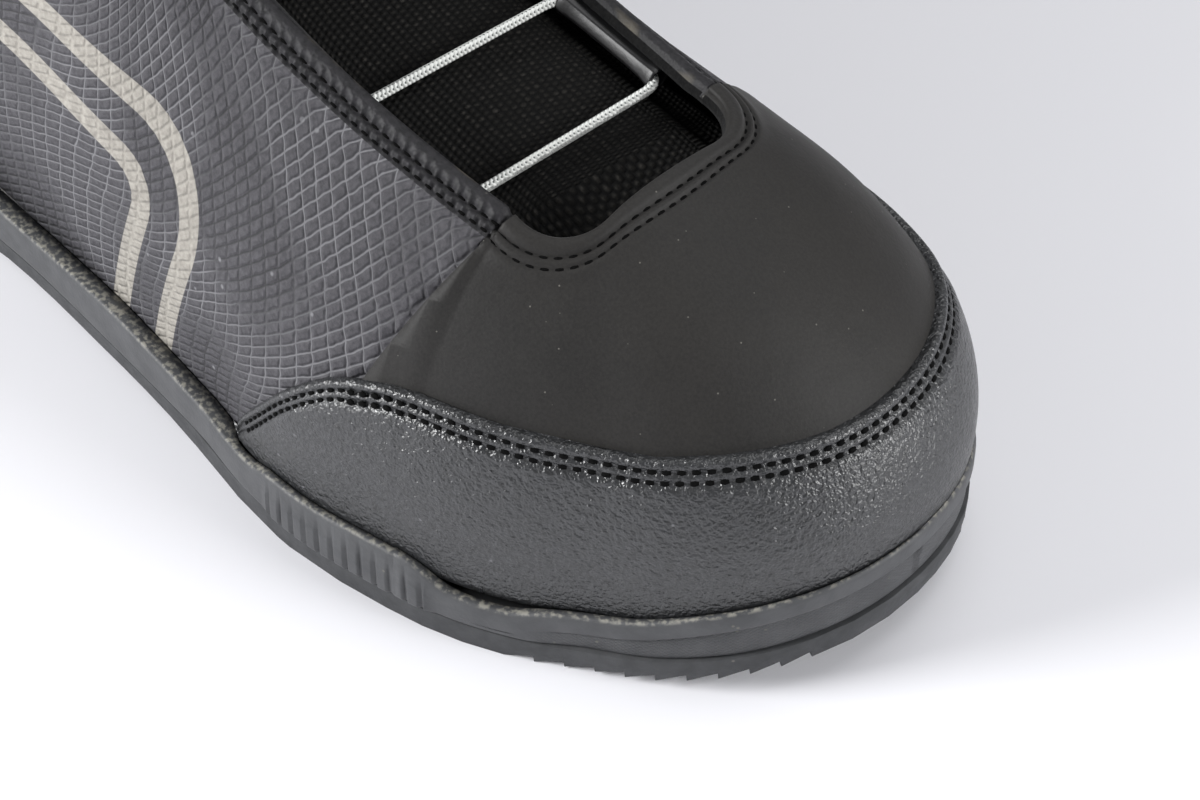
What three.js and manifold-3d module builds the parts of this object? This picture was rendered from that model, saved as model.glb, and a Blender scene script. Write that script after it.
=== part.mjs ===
// A right snowboard boot: a tall textile and synthetic shell with a moulded toe rand, a ribbed cup midsole,
// a lugged rubber outsole, a padded tongue and a thin round lace held in tracks under the throat edges.
// Millimetres. X points to the toe, Y to the wearer's left (the inner side), Z up.
// The origin is on the floor under the centre of the heel.
import * as THREE from "three";
import { mergeVertices } from "three/addons/utils/BufferGeometryUtils.js";
import Module from "manifold-3d";

const wasm = await Module();
wasm.setup();

// Overall sizes of the boot
const SOLE_LENGTH = 306;
const BALL_WIDTH = 119;
const HEEL_BACK = 38; // from the heel's centre back to the sole's end
const SHAFT_HEIGHT = 286; // collar at the back, above the floor
const INSTEP_HEIGHT = 125; // where the instep turns into the shaft

// Sole
const LUG_HEIGHT = 3.2;
const OUTSOLE_PLATE = 2.6;
const TOE_SPRING = 9.5;
const TOE_SPRING_LENGTH = 50; // how far behind the toe the sole starts to rise
const HEEL_BEVEL = 2;
const HEEL_BEVEL_LENGTH = 14;
const BALL_FLOOR = 11.5; // height of the cup's floor at the ball
const HEEL_FLOOR = 19;
const SOLE_LIP = 2.4; // thickness of the cup's wall at its top
const SIDE_HEIGHT = 20; // the midsole's side, to which the heights of its top edge are shares
const SIDE_STEP = 0.9; // how far the top band stands out over the textured wall
const SIDE_BAND = 5; // height of that band
const RIB_PITCH = 3.6;
const RIB_COUNT = 12;
const RIB_GROOVE_WIDTH = 1.4;
const RIB_GROOVE_DEPTH = 0.9;
const RIB_BLOCK_STEP = 0.8; // the ribbed block stands this far out of the wall

// Upper
const WALL = 3; // foot part
const SHAFT_WALL = 5; // padded shaft
const BINDING_WIDTH = 8; // folded and double-stitched strip along throat and collar
const BINDING_STEP = 0.9;
const RAND_HEIGHT = 57; // top edge of the rand above the floor
const RAND_THICKNESS = 1.7;
const VAMP_BULGE = 0.05; // how far the sides swell over the feather edge, as a share of the half width
const THROAT_END = 14; // throat's toe end, ahead of the toe centre
const THROAT_HALF = 25.5; // half width at its toe end
const THROAT_HALF_TOP = 31; // and at the collar
const THROAT_CORNER = 12;

// Tongue, insole and lace
const TONGUE_THICKNESS = 6;
const TONGUE_WING = 14; // how far it reaches under the throat's edges
const TONGUE_RISE = 16; // above the collar's front corners
const TONGUE_CROWN = 0.9;
const TONGUE_BELOW_LACE = 3;
const INSOLE_THICKNESS = 3.2;
const INSOLE_INSET = 1.7; // from the upper's inner wall
const LACE_DIAMETER = 2;
const LACE_BARS = 9;
const LACE_SIDES = 6;
const GUIDE_WALL = 0.8;
const GUIDE_WIDTH = 4.2;
const GAP = 0.3; // between touching pieces

// Where the outline turns from two sides into a toe that is swept round a centre
const TOE_CENTRE = new THREE.Vector2(SOLE_LENGTH * 0.752 - HEEL_BACK, BALL_WIDTH * 0.0252);
const TOE_MIDDLE = 12; // degrees, the toe's own middle, turned to the inner side
const TOE_REACH = SOLE_LENGTH * 0.245;

// Share of each side's stations: collar first, then throat, then toe
const COLLAR_END = 0.28;
const THROAT_START = 0.66;

// Sole outline behind the toe centre: along from the heel's end, half widths from the centre line
const SOLE_PLAN = [
  { along: 0.0, lateral: 0.366, medial: 0.366 },
  { along: 0.13, lateral: 0.378, medial: 0.378 },
  { along: 0.22, lateral: 0.38, medial: 0.37 },
  { along: 0.32, lateral: 0.396, medial: 0.364 },
  { along: 0.45, lateral: 0.43, medial: 0.385 },
  { along: 0.56, lateral: 0.457, medial: 0.44 },
  { along: 0.62, lateral: 0.483, medial: 0.475 },
  { along: 0.68, lateral: 0.487, medial: 0.502 },
  { along: 0.752, lateral: 0.457, medial: 0.521 },
];

// Sole outline round the toe centre: degrees from straight ahead, outer side negative, reach as a share
const TOE_PLAN = [
  { turn: -105, reach: 0.79 },
  { turn: -90, reach: 0.765 },
  { turn: -75, reach: 0.74 },
  { turn: -60, reach: 0.732 },
  { turn: -45, reach: 0.752 },
  { turn: -30, reach: 0.832 },
  { turn: -15, reach: 0.924 },
  { turn: 0, reach: 0.998 },
  { turn: 15, reach: 1.034 },
  { turn: 30, reach: 1.042 },
  { turn: 45, reach: 1.006 },
  { turn: 60, reach: 0.922 },
  { turn: 75, reach: 0.84 },
  { turn: 90, reach: 0.787 },
  { turn: 105, reach: 0.79 },
];

// The foot's form: along the sole, ridge height as a share of the instep, the ridge's shift to the inner
// side as a share of the ball, and how square the section is
const FOOT_FORM = [
  { along: 0.0, ridge: 0.62, shift: 0, square: 2.2 },
  { along: 0.2, ridge: 1.1, shift: 0, square: 2.2 },
  { along: 0.4, ridge: 1.22, shift: 0.005, square: 2.2 },
  { along: 0.5, ridge: 1.02, shift: 0.01, square: 2.25 },
  { along: 0.57, ridge: 0.9, shift: 0.015, square: 2.3 },
  { along: 0.65, ridge: 0.8, shift: 0.02, square: 2.4 },
  { along: 0.752, ridge: 0.73, shift: 0.025, square: 2.5 },
  { along: 0.84, ridge: 0.685, shift: 0.025, square: 2.5 },
  { along: 1.0, ridge: 0.6, shift: 0.025, square: 2.5 },
];

// The leg's form by height: back, widest point and front from the heel's centre as shares of the sole's
// length, half widths as shares of the ball
const LEG_FORM = [
  { height: 0.03, back: -0.113, widest: 0.035, front: 0.33, lateral: 0.35, medial: 0.35 },
  { height: 0.12, back: -0.122, widest: 0.04, front: 0.345, lateral: 0.362, medial: 0.36 },
  { height: 0.25, back: -0.116, widest: 0.06, front: 0.372, lateral: 0.366, medial: 0.36 },
  { height: 0.38, back: -0.097, widest: 0.09, front: 0.394, lateral: 0.378, medial: 0.372 },
  { height: 0.55, back: -0.074, widest: 0.14, front: 0.418, lateral: 0.418, medial: 0.412 },
  { height: 0.78, back: -0.04, widest: 0.195, front: 0.452, lateral: 0.458, medial: 0.452 },
  { height: 1.05, back: 0.0, widest: 0.245, front: 0.492, lateral: 0.475, medial: 0.47 },
];
const LEG_SQUARE = 2.3;

// Meridians that end at the throat's edge, from the collar (0) to the toe centre (1). Each edge point is
// found on a ray of the side view; foot is where its meridian stands on the sole, arrive and reach are the
// direction and the length of its last bend.
const THROAT_RAYS = [
  { at: 0.0, x: 0.2, z: 0.944, slope: 8, foot: 0.17, arrive: 26, reach: 72 },
  { at: 0.2, x: 0.2, z: 0.82, slope: 6, foot: 0.205, arrive: 12, reach: 60 },
  { at: 0.4, x: 0.2, z: 0.655, slope: 5, foot: 0.255, arrive: 18, reach: 50 },
  { at: 0.58, x: 0.2, z: 0.46, slope: 14, foot: 0.325, arrive: 45, reach: 40 },
  { at: 0.72, x: 0.245, z: 0.3, slope: 40, foot: 0.405, arrive: 72, reach: 38 },
  { at: 0.86, x: 0.41, z: 0.14, slope: 68, foot: 0.51, arrive: 84, reach: 38 },
  { at: 1.0, x: 0.628, z: 0.05, slope: 90, foot: 0.628, arrive: 90, reach: 38 },
];

// Height of the midsole's top edge above the rising sole, as a share, along each side and round the toe
const SOLE_EDGE = [
  { along: 0.0, height: 1.45 },
  { along: 0.12, height: 1.3 },
  { along: 0.22, height: 0.975 },
  { along: 0.32, height: 0.79 },
  { along: 0.36, height: 0.79 },
  { along: 0.45, height: 0.86 },
  { along: 0.55, height: 0.785 },
  { along: 0.6, height: 0.77 },
  { along: 0.632, height: 0.8 },
  { along: 0.642, height: 0.87 },
  { along: 0.7, height: 0.9 },
  { along: 0.76, height: 0.915 },
  { along: 0.775, height: 0.865 },
  { along: 0.795, height: 0.69 },
  { along: 0.825, height: 0.645 },
  { along: 0.838, height: 0.67 },
  { along: 0.855, height: 0.75 },
  { along: 0.9, height: 0.82 },
  { along: 0.95, height: 0.94 },
  { along: 1.0, height: 0.975 },
];

// Top edge of the toe rand: its height as a share, from its start on each side to the toe
const RAND_EDGE = [
  { along: 0.592, height: 0.2281 },
  { along: 0.604, height: 0.3123 },
  { along: 0.62, height: 0.4386 },
  { along: 0.645, height: 0.5965 },
  { along: 0.67, height: 0.7544 },
  { along: 0.7, height: 0.9035 },
  { along: 0.725, height: 0.9649 },
  { along: 0.755, height: 0.9965 },
  { along: 0.8, height: 0.9895 },
  { along: 0.85, height: 0.9684 },
  { along: 0.9, height: 0.9684 },
  { along: 0.95, height: 0.993 },
  { along: 1.0, height: 1.0035 },
];
const RAND_START = { lateral: 0.592, medial: 0.612 };

// Cubic interpolation of one column of a table, by its key column
function sample(table, key, at, column) {
  const n = table.length;
  const x = Math.min(Math.max(at, table[0][key]), table[n - 1][key]);
  let i = 0;
  while (i < n - 2 && x > table[i + 1][key]) i++;
  const [a, b] = [table[i], table[i + 1]];
  const slopeAt = (j) => {
    const p = table[Math.max(j - 1, 0)];
    const q = table[Math.min(j + 1, n - 1)];
    return (q[column] - p[column]) / (q[key] - p[key]);
  };
  const h = b[key] - a[key];
  const t = (x - a[key]) / h;
  const [m0, m1] = [slopeAt(i) * h, slopeAt(i + 1) * h];
  const t2 = t * t;
  const t3 = t2 * t;
  const fromA = (2 * t3 - 3 * t2 + 1) * a[column] + (t3 - 2 * t2 + t) * m0;
  return fromA + (3 * t2 - 2 * t3) * b[column] + (t3 - t2) * m1;
}

const smooth = (from, to, x) => THREE.MathUtils.smoothstep((x - from) / (to - from), 0, 1);
const mix = THREE.MathUtils.lerp;
const radians = THREE.MathUtils.degToRad;
const alongOf = (x) => (x + HEEL_BACK) / SOLE_LENGTH;
const TOE_TIP = SOLE_LENGTH - HEEL_BACK;
const MARGIN = SOLE_LIP + GAP + RAND_THICKNESS + GAP; // sole outline to the upper's feather edge

// How far the tread leaves the floor at x
function spring(x) {
  const toe = Math.max(0, (x - (TOE_TIP - TOE_SPRING_LENGTH)) / TOE_SPRING_LENGTH);
  const heel = Math.max(0, (HEEL_BEVEL_LENGTH - HEEL_BACK - x) / HEEL_BEVEL_LENGTH);
  return TOE_SPRING * toe * toe + HEEL_BEVEL * heel * heel;
}

// Height of the cup's floor, on which upper and insole stand
function cupFloor(x) {
  const along = alongOf(x);
  return mix(HEEL_FLOOR, BALL_FLOOR, smooth(0.15, 0.5, along)) + spring(x) * smooth(0.5, 0.8, along);
}

// Half width of the foot at its feather edge
function footHalf(x, side) {
  const column = side < 0 ? "lateral" : "medial";
  return sample(SOLE_PLAN, "along", alongOf(x), column) * BALL_WIDTH - MARGIN;
}

// Share of the height at a share of the half width, on a rounded square of a given power
const rise = (inward, power) => (1 - Math.min(1, Math.abs(inward)) ** power) ** (1 / power);
const swell = (up) => 1 + VAMP_BULGE * 4 * up * (1 - up);

function footForm(x) {
  const along = alongOf(x);
  return {
    ridge: sample(FOOT_FORM, "along", along, "ridge") * INSTEP_HEIGHT,
    shift: sample(FOOT_FORM, "along", along, "shift") * BALL_WIDTH,
    square: sample(FOOT_FORM, "along", along, "square"),
  };
}

// Side position of the foot's surface at a point of the side view
function footSide(x, z, side) {
  const { ridge, shift, square } = footForm(x);
  const low = cupFloor(x) + GAP;
  const up = THREE.MathUtils.clamp((z - low) / (ridge - low), 0, 1);
  return side * footHalf(x, side) * rise(up, square) * swell(up) + shift * up;
}

function legForm(z) {
  const at = (column) => sample(LEG_FORM, "height", z / SHAFT_HEIGHT, column);
  return {
    back: at("back") * SOLE_LENGTH,
    widest: at("widest") * SOLE_LENGTH,
    front: at("front") * SOLE_LENGTH,
    lateral: at("lateral") * BALL_WIDTH,
    medial: at("medial") * BALL_WIDTH,
  };
}

function legSide(x, z, side) {
  const leg = legForm(z);
  const reach = x < leg.widest ? leg.widest - leg.back : leg.front - leg.widest;
  const half = side < 0 ? leg.lateral : leg.medial;
  return side * half * rise((x - leg.widest) / reach, LEG_SQUARE);
}

// Foot and leg flow into each other over this difference of their half widths
const BLEND = 7;
const BLEND_START = 6;
const BLEND_END = 62;

// Side position of the boot's outer surface at a point of the side view
function surfaceSide(x, z, side) {
  const leg = legSide(x, z, side);
  const more = side * (footSide(x, z, side) - leg);
  const soft = (more + Math.hypot(more, BLEND)) / 2;
  const start = legForm(z).back;
  return leg + side * soft * smooth(start + BLEND_START, start + BLEND_END, x);
}

// Throat's centre line and half width, from the collar (0) to the toe centre (1)
const throatHalf = (at) => mix(THROAT_HALF_TOP, THROAT_HALF, at ** 6);
const throatCentre = (at) => footForm(TOE_CENTRE.x).shift * smooth(0.35, 1, at) + TOE_CENTRE.y * at;

// A point of the throat's edge: walk in along a ray of the side view until the surface is as wide as the
// throat
function throatEdge(at, side) {
  const ray = (column) => sample(THROAT_RAYS, "at", at, column);
  const start = new THREE.Vector2(ray("x") * SOLE_LENGTH, ray("z") * SHAFT_HEIGHT);
  const slope = radians(ray("slope"));
  const step = new THREE.Vector2(Math.cos(slope), Math.sin(slope));
  const wanted = throatHalf(at);
  let [near, far] = [0, SHAFT_HEIGHT];
  for (let i = 0; i < 40; i++) {
    const half = (near + far) / 2;
    const p = start.clone().addScaledVector(step, half);
    const reach = side * (surfaceSide(p.x, p.y, side) - throatCentre(at));
    if (reach > wanted) near = half;
    else far = half;
  }
  return start.addScaledVector(step, near);
}

// Toe: the surface swept round the toe centre, at a turn in degrees and an angle up the section
function toePoint(turn, angle) {
  const reach = sample(TOE_PLAN, "turn", turn, "reach") * TOE_REACH - MARGIN;
  const { shift, square } = footForm(TOE_CENTRE.x);
  const up = Math.sin(angle) ** (2 / square);
  const inward = Math.cos(angle) ** (2 / square) * swell(up);
  const x = TOE_CENTRE.x + reach * inward * Math.cos(radians(turn));
  const y = TOE_CENTRE.y + reach * inward * Math.sin(radians(turn)) + shift * up;
  const low = cupFloor(TOE_CENTRE.x + reach * Math.cos(radians(turn))) + GAP;
  return new THREE.Vector3(x, y, low + (footForm(x).ridge - low) * up);
}

// Distance from the rounded end of the throat, negative inside it
function throatEndDistance(x, y) {
  const centre = footForm(TOE_CENTRE.x).shift + TOE_CENTRE.y;
  const dx = Math.max(0, x - TOE_CENTRE.x) - (THROAT_END - THROAT_CORNER);
  const dy = Math.abs(y - centre) - (THROAT_HALF - THROAT_CORNER);
  const outside = Math.hypot(Math.max(dx, 0), Math.max(dy, 0));
  return outside + Math.min(Math.max(dx, dy), 0) - THROAT_CORNER;
}

// Angle up the toe's section at which it meets the throat's end
function throatEndAngle(turn) {
  let [low, high] = [0.05, Math.PI / 2];
  for (let i = 0; i < 40; i++) {
    const half = (low + high) / 2;
    const p = toePoint(turn, half);
    if (throatEndDistance(p.x, p.y) > 0) low = half;
    else high = half;
  }
  return low;
}

const edgeCache = new Map();
function cached(key, make) {
  if (!edgeCache.has(key)) edgeCache.set(key, make());
  return edgeCache.get(key);
}

// A point of the upper's outer surface. Station 0 is the middle of the heel's back and 1 the middle of the
// toe, on the side given; up is 0 at the feather edge and 1 at the edge of throat or collar.
function surfacePoint(station, up, side) {
  if (station > THROAT_START) {
    const share = (station - THROAT_START) / (1 - THROAT_START);
    const turn = mix(side * 90, TOE_MIDDLE, share);
    const end = cached(`toe ${turn}`, () => throatEndAngle(turn));
    return toePoint(turn, end * up);
  }
  const square = footForm(TOE_CENTRE.x).square;
  const end = cached(`side ${side}`, () => throatEndAngle(side * 90));
  const share = (Math.sin(end * up) / Math.sin(end)) ** (2 / square);
  const at = Math.max(0, (station - COLLAR_END) / (THROAT_START - COLLAR_END));
  const { foot, bend, edge } = cached(`throat ${at} ${side}`, () => throatMeridian(at, side));
  let x = bezier(foot.x, bend.x, edge.x, share);
  let z = bezier(foot.y, bend.y, edge.y, share);
  if (station < COLLAR_END) {
    const ahead = 1 - Math.cos((Math.PI / 2) * (station / COLLAR_END));
    const top = mix(SHAFT_HEIGHT, edge.y, smooth(0, 1, ahead));
    const floor = cupFloor(mix(legForm(HEEL_FLOOR).back, foot.x, ahead)) + GAP;
    z = mix(mix(floor, top, share), z + (floor - foot.y) * (1 - share) + (top - edge.y) * share, ahead);
    x = mix(legForm(z).back, x, ahead);
  }
  return new THREE.Vector3(x, surfaceSide(x, z, side), z);
}

const bezier = (a, b, c, t) => a * (1 - t) ** 2 + 2 * b * t * (1 - t) + c * t * t;

// Side view of a meridian that ends at the throat
function throatMeridian(at, side) {
  const ray = (column) => sample(THROAT_RAYS, "at", at, column);
  const edge = throatEdge(at, side);
  const footX = mix(ray("foot") * SOLE_LENGTH, TOE_CENTRE.x, smooth(0.97, 1, at));
  const foot = new THREE.Vector2(footX, cupFloor(footX) + GAP);
  const arrive = radians(ray("arrive"));
  const bend = edge.clone();
  bend.addScaledVector(new THREE.Vector2(Math.cos(arrive), Math.sin(arrive)), -ray("reach"));
  bend.lerp(foot.clone().add(edge).multiplyScalar(0.5), smooth(0.7, 1, at));
  return { foot, bend, edge };
}

// Length of the meridian from each share up to the edge, to place rows by distance from the edge
const ROW_STEPS = 40;
function edgeRow(station, side, distance) {
  return cached(`row ${station} ${side} ${distance}`, () => {
    let left = distance;
    let above = surfacePoint(station, 1, side);
    for (let i = ROW_STEPS - 1; i >= 0; i--) {
      const below = surfacePoint(station, i / ROW_STEPS, side);
      const length = below.distanceTo(above);
      if (length >= left) return (i + 1 - left / length) / ROW_STEPS;
      left -= length;
      above = below;
    }
    return 0;
  });
}

// Outward normal of the surface, from small steps along and up
function surfaceNormal(station, up, side) {
  const step = 0.004;
  const [s0, s1] = [Math.max(station - step, 0), Math.min(station + step, 1)];
  const [u0, u1] = [Math.max(up - step, 0.001), Math.min(Math.max(up + step, 0.006), 1)];
  const along = surfacePoint(s1, up, side).sub(surfacePoint(s0, up, side));
  const over = surfacePoint(station, u1, side).sub(surfacePoint(station, u0, side));
  if (station < step || station > 1 - step) {
    // On the middle line both sides share one normal.
    const beside = station < step ? step : 1 - step;
    const across = surfacePoint(beside, up, 1).sub(surfacePoint(beside, up, -1));
    return over.cross(across).multiplyScalar(station < step ? 1 : -1).normalize();
  }
  return over.cross(along).multiplyScalar(side).normalize();
}

// Surface point moved out by an offset
function offsetPoint(station, up, side, offset) {
  const p = surfacePoint(station, up, side);
  return p.addScaledVector(surfaceNormal(station, up, side), offset);
}

// Height share at which the surface reaches a height
function upAtHeight(station, side, height) {
  let [low, high] = [0, 1];
  for (let i = 0; i < 30; i++) {
    const half = (low + high) / 2;
    if (surfacePoint(station, half, side).z < height) low = half;
    else high = half;
  }
  return low;
}

// Stations of one side by even steps inside each zone, from heel to toe
function stationList(collar, throat, toe) {
  const list = [];
  for (let i = 0; i < collar; i++) list.push((COLLAR_END * i) / collar);
  for (let i = 0; i < throat; i++) {
    const share = (i / throat) * (1.4 - (0.4 * i) / throat); // closer together towards the toe
    list.push(mix(COLLAR_END, THROAT_START, share));
  }
  for (let i = 0; i <= toe; i++) list.push(mix(THROAT_START, 1, i / toe));
  return list;
}

// Closed ring of stations: heel to toe on the outer side, then back on the inner side
function ringOf(list) {
  const outer = list.map((station) => ({ station, side: -1 }));
  const inner = list.slice(1, -1).reverse().map((station) => ({ station, side: 1 }));
  return [...outer, ...inner];
}

// A mesh under construction: points and faces, with quads split in two
class Shell {
  constructor() {
    this.points = [];
    this.faces = [];
  }
  add(p) {
    this.points.push(p);
    return this.points.length - 1;
  }
  row(points) {
    return points.map((p) => this.add(p));
  }
  quad(a, b, c, d) {
    this.faces.push([a, b, c], [a, c, d]);
  }
  // Faces between two rows of equal length, closed round or open
  band(low, high, closed) {
    const n = low.length;
    for (let i = 0; i < (closed ? n : n - 1); i++) {
      const j = (i + 1) % n;
      this.quad(low[i], low[j], high[j], high[i]);
    }
  }
  // Fills a ring that was made by ringOf, by rungs from the outer to the inner side
  ladder(ring, facingUp) {
    const n = ring.length;
    for (let i = 0; i < n / 2; i++) {
      const [a, b] = [ring[i], ring[i + 1]];
      const [c, d] = [ring[(n - i - 1) % n], ring[(n - i) % n]];
      const faces = i === 0 ? [[a, b, c]] : i === n / 2 - 1 ? [[a, b, d]] : [[a, b, c], [a, c, d]];
      for (const f of faces) this.faces.push(facingUp ? f : [f[0], f[2], f[1]]);
    }
  }
  geometry() {
    const g = new THREE.BufferGeometry();
    g.setAttribute("position", new THREE.Float32BufferAttribute(this.points.flatMap((p) => p.toArray()), 3));
    g.setIndex(this.faces.flat());
    return g;
  }
}

function solidOf(geometry) {
  const bare = geometry.clone();
  bare.deleteAttribute("normal");
  bare.deleteAttribute("uv");
  const merged = mergeVertices(bare, 1e-4);
  const mesh = new wasm.Mesh({
    numProp: 3,
    vertProperties: merged.attributes.position.array,
    triVerts: new Uint32Array(merged.index.array),
  });
  return new wasm.Manifold(mesh);
}

function geometryOf(solid) {
  const mesh = solid.getMesh();
  const g = new THREE.BufferGeometry();
  g.setAttribute("position", new THREE.BufferAttribute(new Float32Array(mesh.vertProperties), 3));
  g.setIndex(new THREE.BufferAttribute(new Uint32Array(mesh.triVerts), 1));
  return g;
}

const boot = new THREE.Group();
function piece(name, geometry, color, roughness, metalness = 0) {
  geometry.computeVertexNormals();
  const mesh = new THREE.Mesh(geometry, new THREE.MeshStandardMaterial({ color, roughness, metalness }));
  mesh.name = name;
  boot.add(mesh);
}

// Upper: outer and inner surface, a folded strip along throat and collar that stands out by a step
const UPPER_ROWS = [0, 0.07, 0.14, 0.21, 0.29, 0.37, 0.46, 0.55, 0.64, 0.73, 0.82, 0.91];
const UPPER_STATIONS = stationList(9, 18, 14);

function wallAt(station, up) {
  const shaft = smooth(0.25, 0.55, up) * smooth(THROAT_START, COLLAR_END, station);
  const nearThroat = smooth(0.58, 0.8, up) * smooth(COLLAR_END * 0.7, COLLAR_END, station);
  return mix(WALL, SHAFT_WALL, shaft * (1 - nearThroat));
}

function upperGeometry() {
  const shell = new Shell();
  const ring = ringOf(UPPER_STATIONS);
  const rowOf = (up, offset) =>
    shell.row(
      ring.map(({ station, side }) => offsetPoint(station, up(station, side), side, offset(station, side))),
    );
  const strip = (station, side) => edgeRow(station, side, BINDING_WIDTH);
  const stepTop = (station, side) => edgeRow(station, side, BINDING_WIDTH - BINDING_STEP);
  const outer = UPPER_ROWS.map((share) => rowOf((s, side) => strip(s, side) * share, () => 0));
  outer.push(rowOf(strip, () => 0));
  outer.push(rowOf(stepTop, () => BINDING_STEP));
  outer.push(rowOf((s, side) => edgeRow(s, side, BINDING_STEP), () => BINDING_STEP));
  outer.push(rowOf(() => 1, () => 0));
  const inner = [() => 1, (s, side) => edgeRow(s, side, BINDING_WIDTH / 2), strip].map((up) =>
    rowOf(up, (s, side) => -wallAt(s, up(s, side))),
  );
  for (const share of UPPER_ROWS.filter((_, i) => i % 3 === 0).reverse())
    inner.push(rowOf((s, side) => strip(s, side) * share, (s, side) => -wallAt(s, strip(s, side) * share)));
  const rows = [...outer, ...inner];
  rows.forEach((row, i) => shell.band(row, rows[(i + 1) % rows.length], true));
  return shell.geometry();
}

// Toe rand: a shell on the upper, from inside the sole's cup up to its own edge
function randUp(station, side) {
  const x = surfacePoint(station, 0, side).x;
  const start = side < 0 ? RAND_START.lateral : RAND_START.medial;
  const along = mix(RAND_EDGE[0].along, 1, (alongOf(x) - start) / (1 - start));
  return upAtHeight(station, side, sample(RAND_EDGE, "along", along, "height") * RAND_HEIGHT);
}

function randStations(side) {
  const start = side < 0 ? RAND_START.lateral : RAND_START.medial;
  let first = COLLAR_END;
  while (alongOf(surfacePoint(first, 0, side).x) < start) first += 0.001;
  return [first, ...UPPER_STATIONS.filter((s) => s > first + 0.008)].map((station) => ({ station, side }));
}

const RAND_FOOT = 0.015; // its lower edge, a little above the upper's feather edge
const RAND_ROWS = 6;

function randGeometry() {
  const shell = new Shell();
  const path = [...randStations(-1), ...randStations(1).reverse().slice(1)];
  const rowOf = (share, offset) =>
    shell.row(
      path.map(({ station, side }) => {
        const up = mix(RAND_FOOT, randUp(station, side), share);
        return offsetPoint(station, up, side, offset);
      }),
    );
  const shares = Array.from({ length: RAND_ROWS + 1 }, (_, i) => i / RAND_ROWS);
  const outer = shares.map((share) => rowOf(share, GAP + RAND_THICKNESS));
  const inner = shares.map((share) => rowOf(share, GAP)).reverse();
  const rows = [...outer, ...inner];
  rows.forEach((row, i) => shell.band(row, rows[(i + 1) % rows.length], false));
  const n = RAND_ROWS;
  for (let i = 0; i < n; i++) {
    const j = rows.length - 1 - i;
    shell.quad(rows[i][0], rows[i + 1][0], rows[j - 1][0], rows[j][0]);
    const last = path.length - 1;
    shell.quad(rows[j][last], rows[j - 1][last], rows[i + 1][last], rows[i][last]);
  }
  return shell.geometry();
}

// Outline of the sole at a station, moved out by a distance, at a height
function soleOutline(station, side, out, z) {
  const p = surfacePoint(station, 0, side);
  const n = surfaceNormal(station, 0, side).setZ(0).normalize();
  return new THREE.Vector3(p.x, p.y, z).addScaledVector(n, MARGIN + out);
}

const RIB_START = SOLE_LENGTH * 0.643 - HEEL_BACK;

// Stations of the midsole, with three more at each groove of the ribs
function midsoleStations(side) {
  const list = stationList(9, 8, 13);
  for (let i = 0; i < RIB_COUNT; i++)
    for (const shift of [-0.5, 0, 0.5])
      list.push(stationAtX(RIB_START + RIB_PITCH * (i + 0.5) + RIB_GROOVE_WIDTH * shift, side));
  return list.sort((a, b) => a - b).map((station) => ({ station, side }));
}

// Station whose sole outline lies at x, on one side
function stationAtX(x, side) {
  let [low, high] = [0, 0.95];
  for (let i = 0; i < 30; i++) {
    const half = (low + high) / 2;
    if (soleOutline(half, side, 0, 0).x < x) low = half;
    else high = half;
  }
  return low;
}

// How far the ribbed block's wall stands out, less its V-shaped grooves
function ribStep(x) {
  const past = (x - RIB_START) / RIB_PITCH;
  if (past < 0 || past > RIB_COUNT) return 0;
  const fromGroove = Math.abs((past % 1) - 0.5) * RIB_PITCH;
  const ends = smooth(0, 0.3, past) * smooth(RIB_COUNT, RIB_COUNT - 0.3, past);
  return RIB_BLOCK_STEP * ends - RIB_GROOVE_DEPTH * Math.max(0, 1 - fromGroove / (RIB_GROOVE_WIDTH / 2));
}

const MIDSOLE_BOTTOM = LUG_HEIGHT + OUTSOLE_PLATE + GAP;

const floorX = ({ station, side }) => surfacePoint(station, 0, side).x;

// Midsole: a cup with a wall that stands round the upper, ribs on both sides of the ball and a band round the
// toe
function midsoleGeometry() {
  const shell = new Shell();
  const ring = [...midsoleStations(-1), ...midsoleStations(1).slice(1, -1).reverse()];
  const edge = ({ station, side }) => {
    const x = soleOutline(station, side, 0, 0).x;
    return spring(x) + sample(SOLE_EDGE, "along", alongOf(x), "height") * SIDE_HEIGHT;
  };
  const bottom = ({ station, side }) => MIDSOLE_BOTTOM + spring(soleOutline(station, side, 0, 0).x);
  const rib = (at) => ribStep(soleOutline(at.station, at.side, 0, 0).x);
  const toe = (at) => smooth(0.84, 0.88, alongOf(soleOutline(at.station, at.side, 0, 0).x));
  const step = (at) => -SIDE_STEP * toe(at);
  const levels = [
    { out: (at) => step(at) - 0.4, z: bottom },
    { out: (at) => step(at) + rib(at), z: (at) => bottom(at) + 1.2 },
    { out: (at) => step(at) + rib(at) * 0.8, z: (at) => edge(at) - SIDE_BAND },
    { out: (at) => rib(at) * 0.5, z: (at) => edge(at) - SIDE_BAND + SIDE_STEP },
    { out: () => -0.1, z: (at) => edge(at) - 0.8 },
    { out: () => -0.7, z: edge },
  ];
  const rows = levels.map(({ out, z }) =>
    shell.row(ring.map((at) => soleOutline(at.station, at.side, out(at), z(at)))),
  );
  const room = (at) => {
    const start = at.side < 0 ? RAND_START.lateral : RAND_START.medial;
    return GAP + (RAND_THICKNESS + GAP) * smooth(start - 0.025, start - 0.003, alongOf(floorX(at)));
  };
  const innerAt = (at, z) => {
    const up = upAtHeight(at.station, at.side, z);
    return offsetPoint(at.station, up, at.side, room(at)).setZ(z);
  };
  rows.push(shell.row(ring.map((at) => innerAt(at, edge(at)))));
  const foot = (at) => soleOutline(at.station, at.side, room(at) - MARGIN, cupFloor(floorX(at)));
  rows.push(shell.row(ring.map(foot)));
  for (let i = 0; i + 1 < rows.length; i++) shell.band(rows[i], rows[i + 1], true);
  shell.ladder(rows[0], false);
  shell.ladder(rows[rows.length - 1], true);
  return shell.geometry();
}

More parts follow.
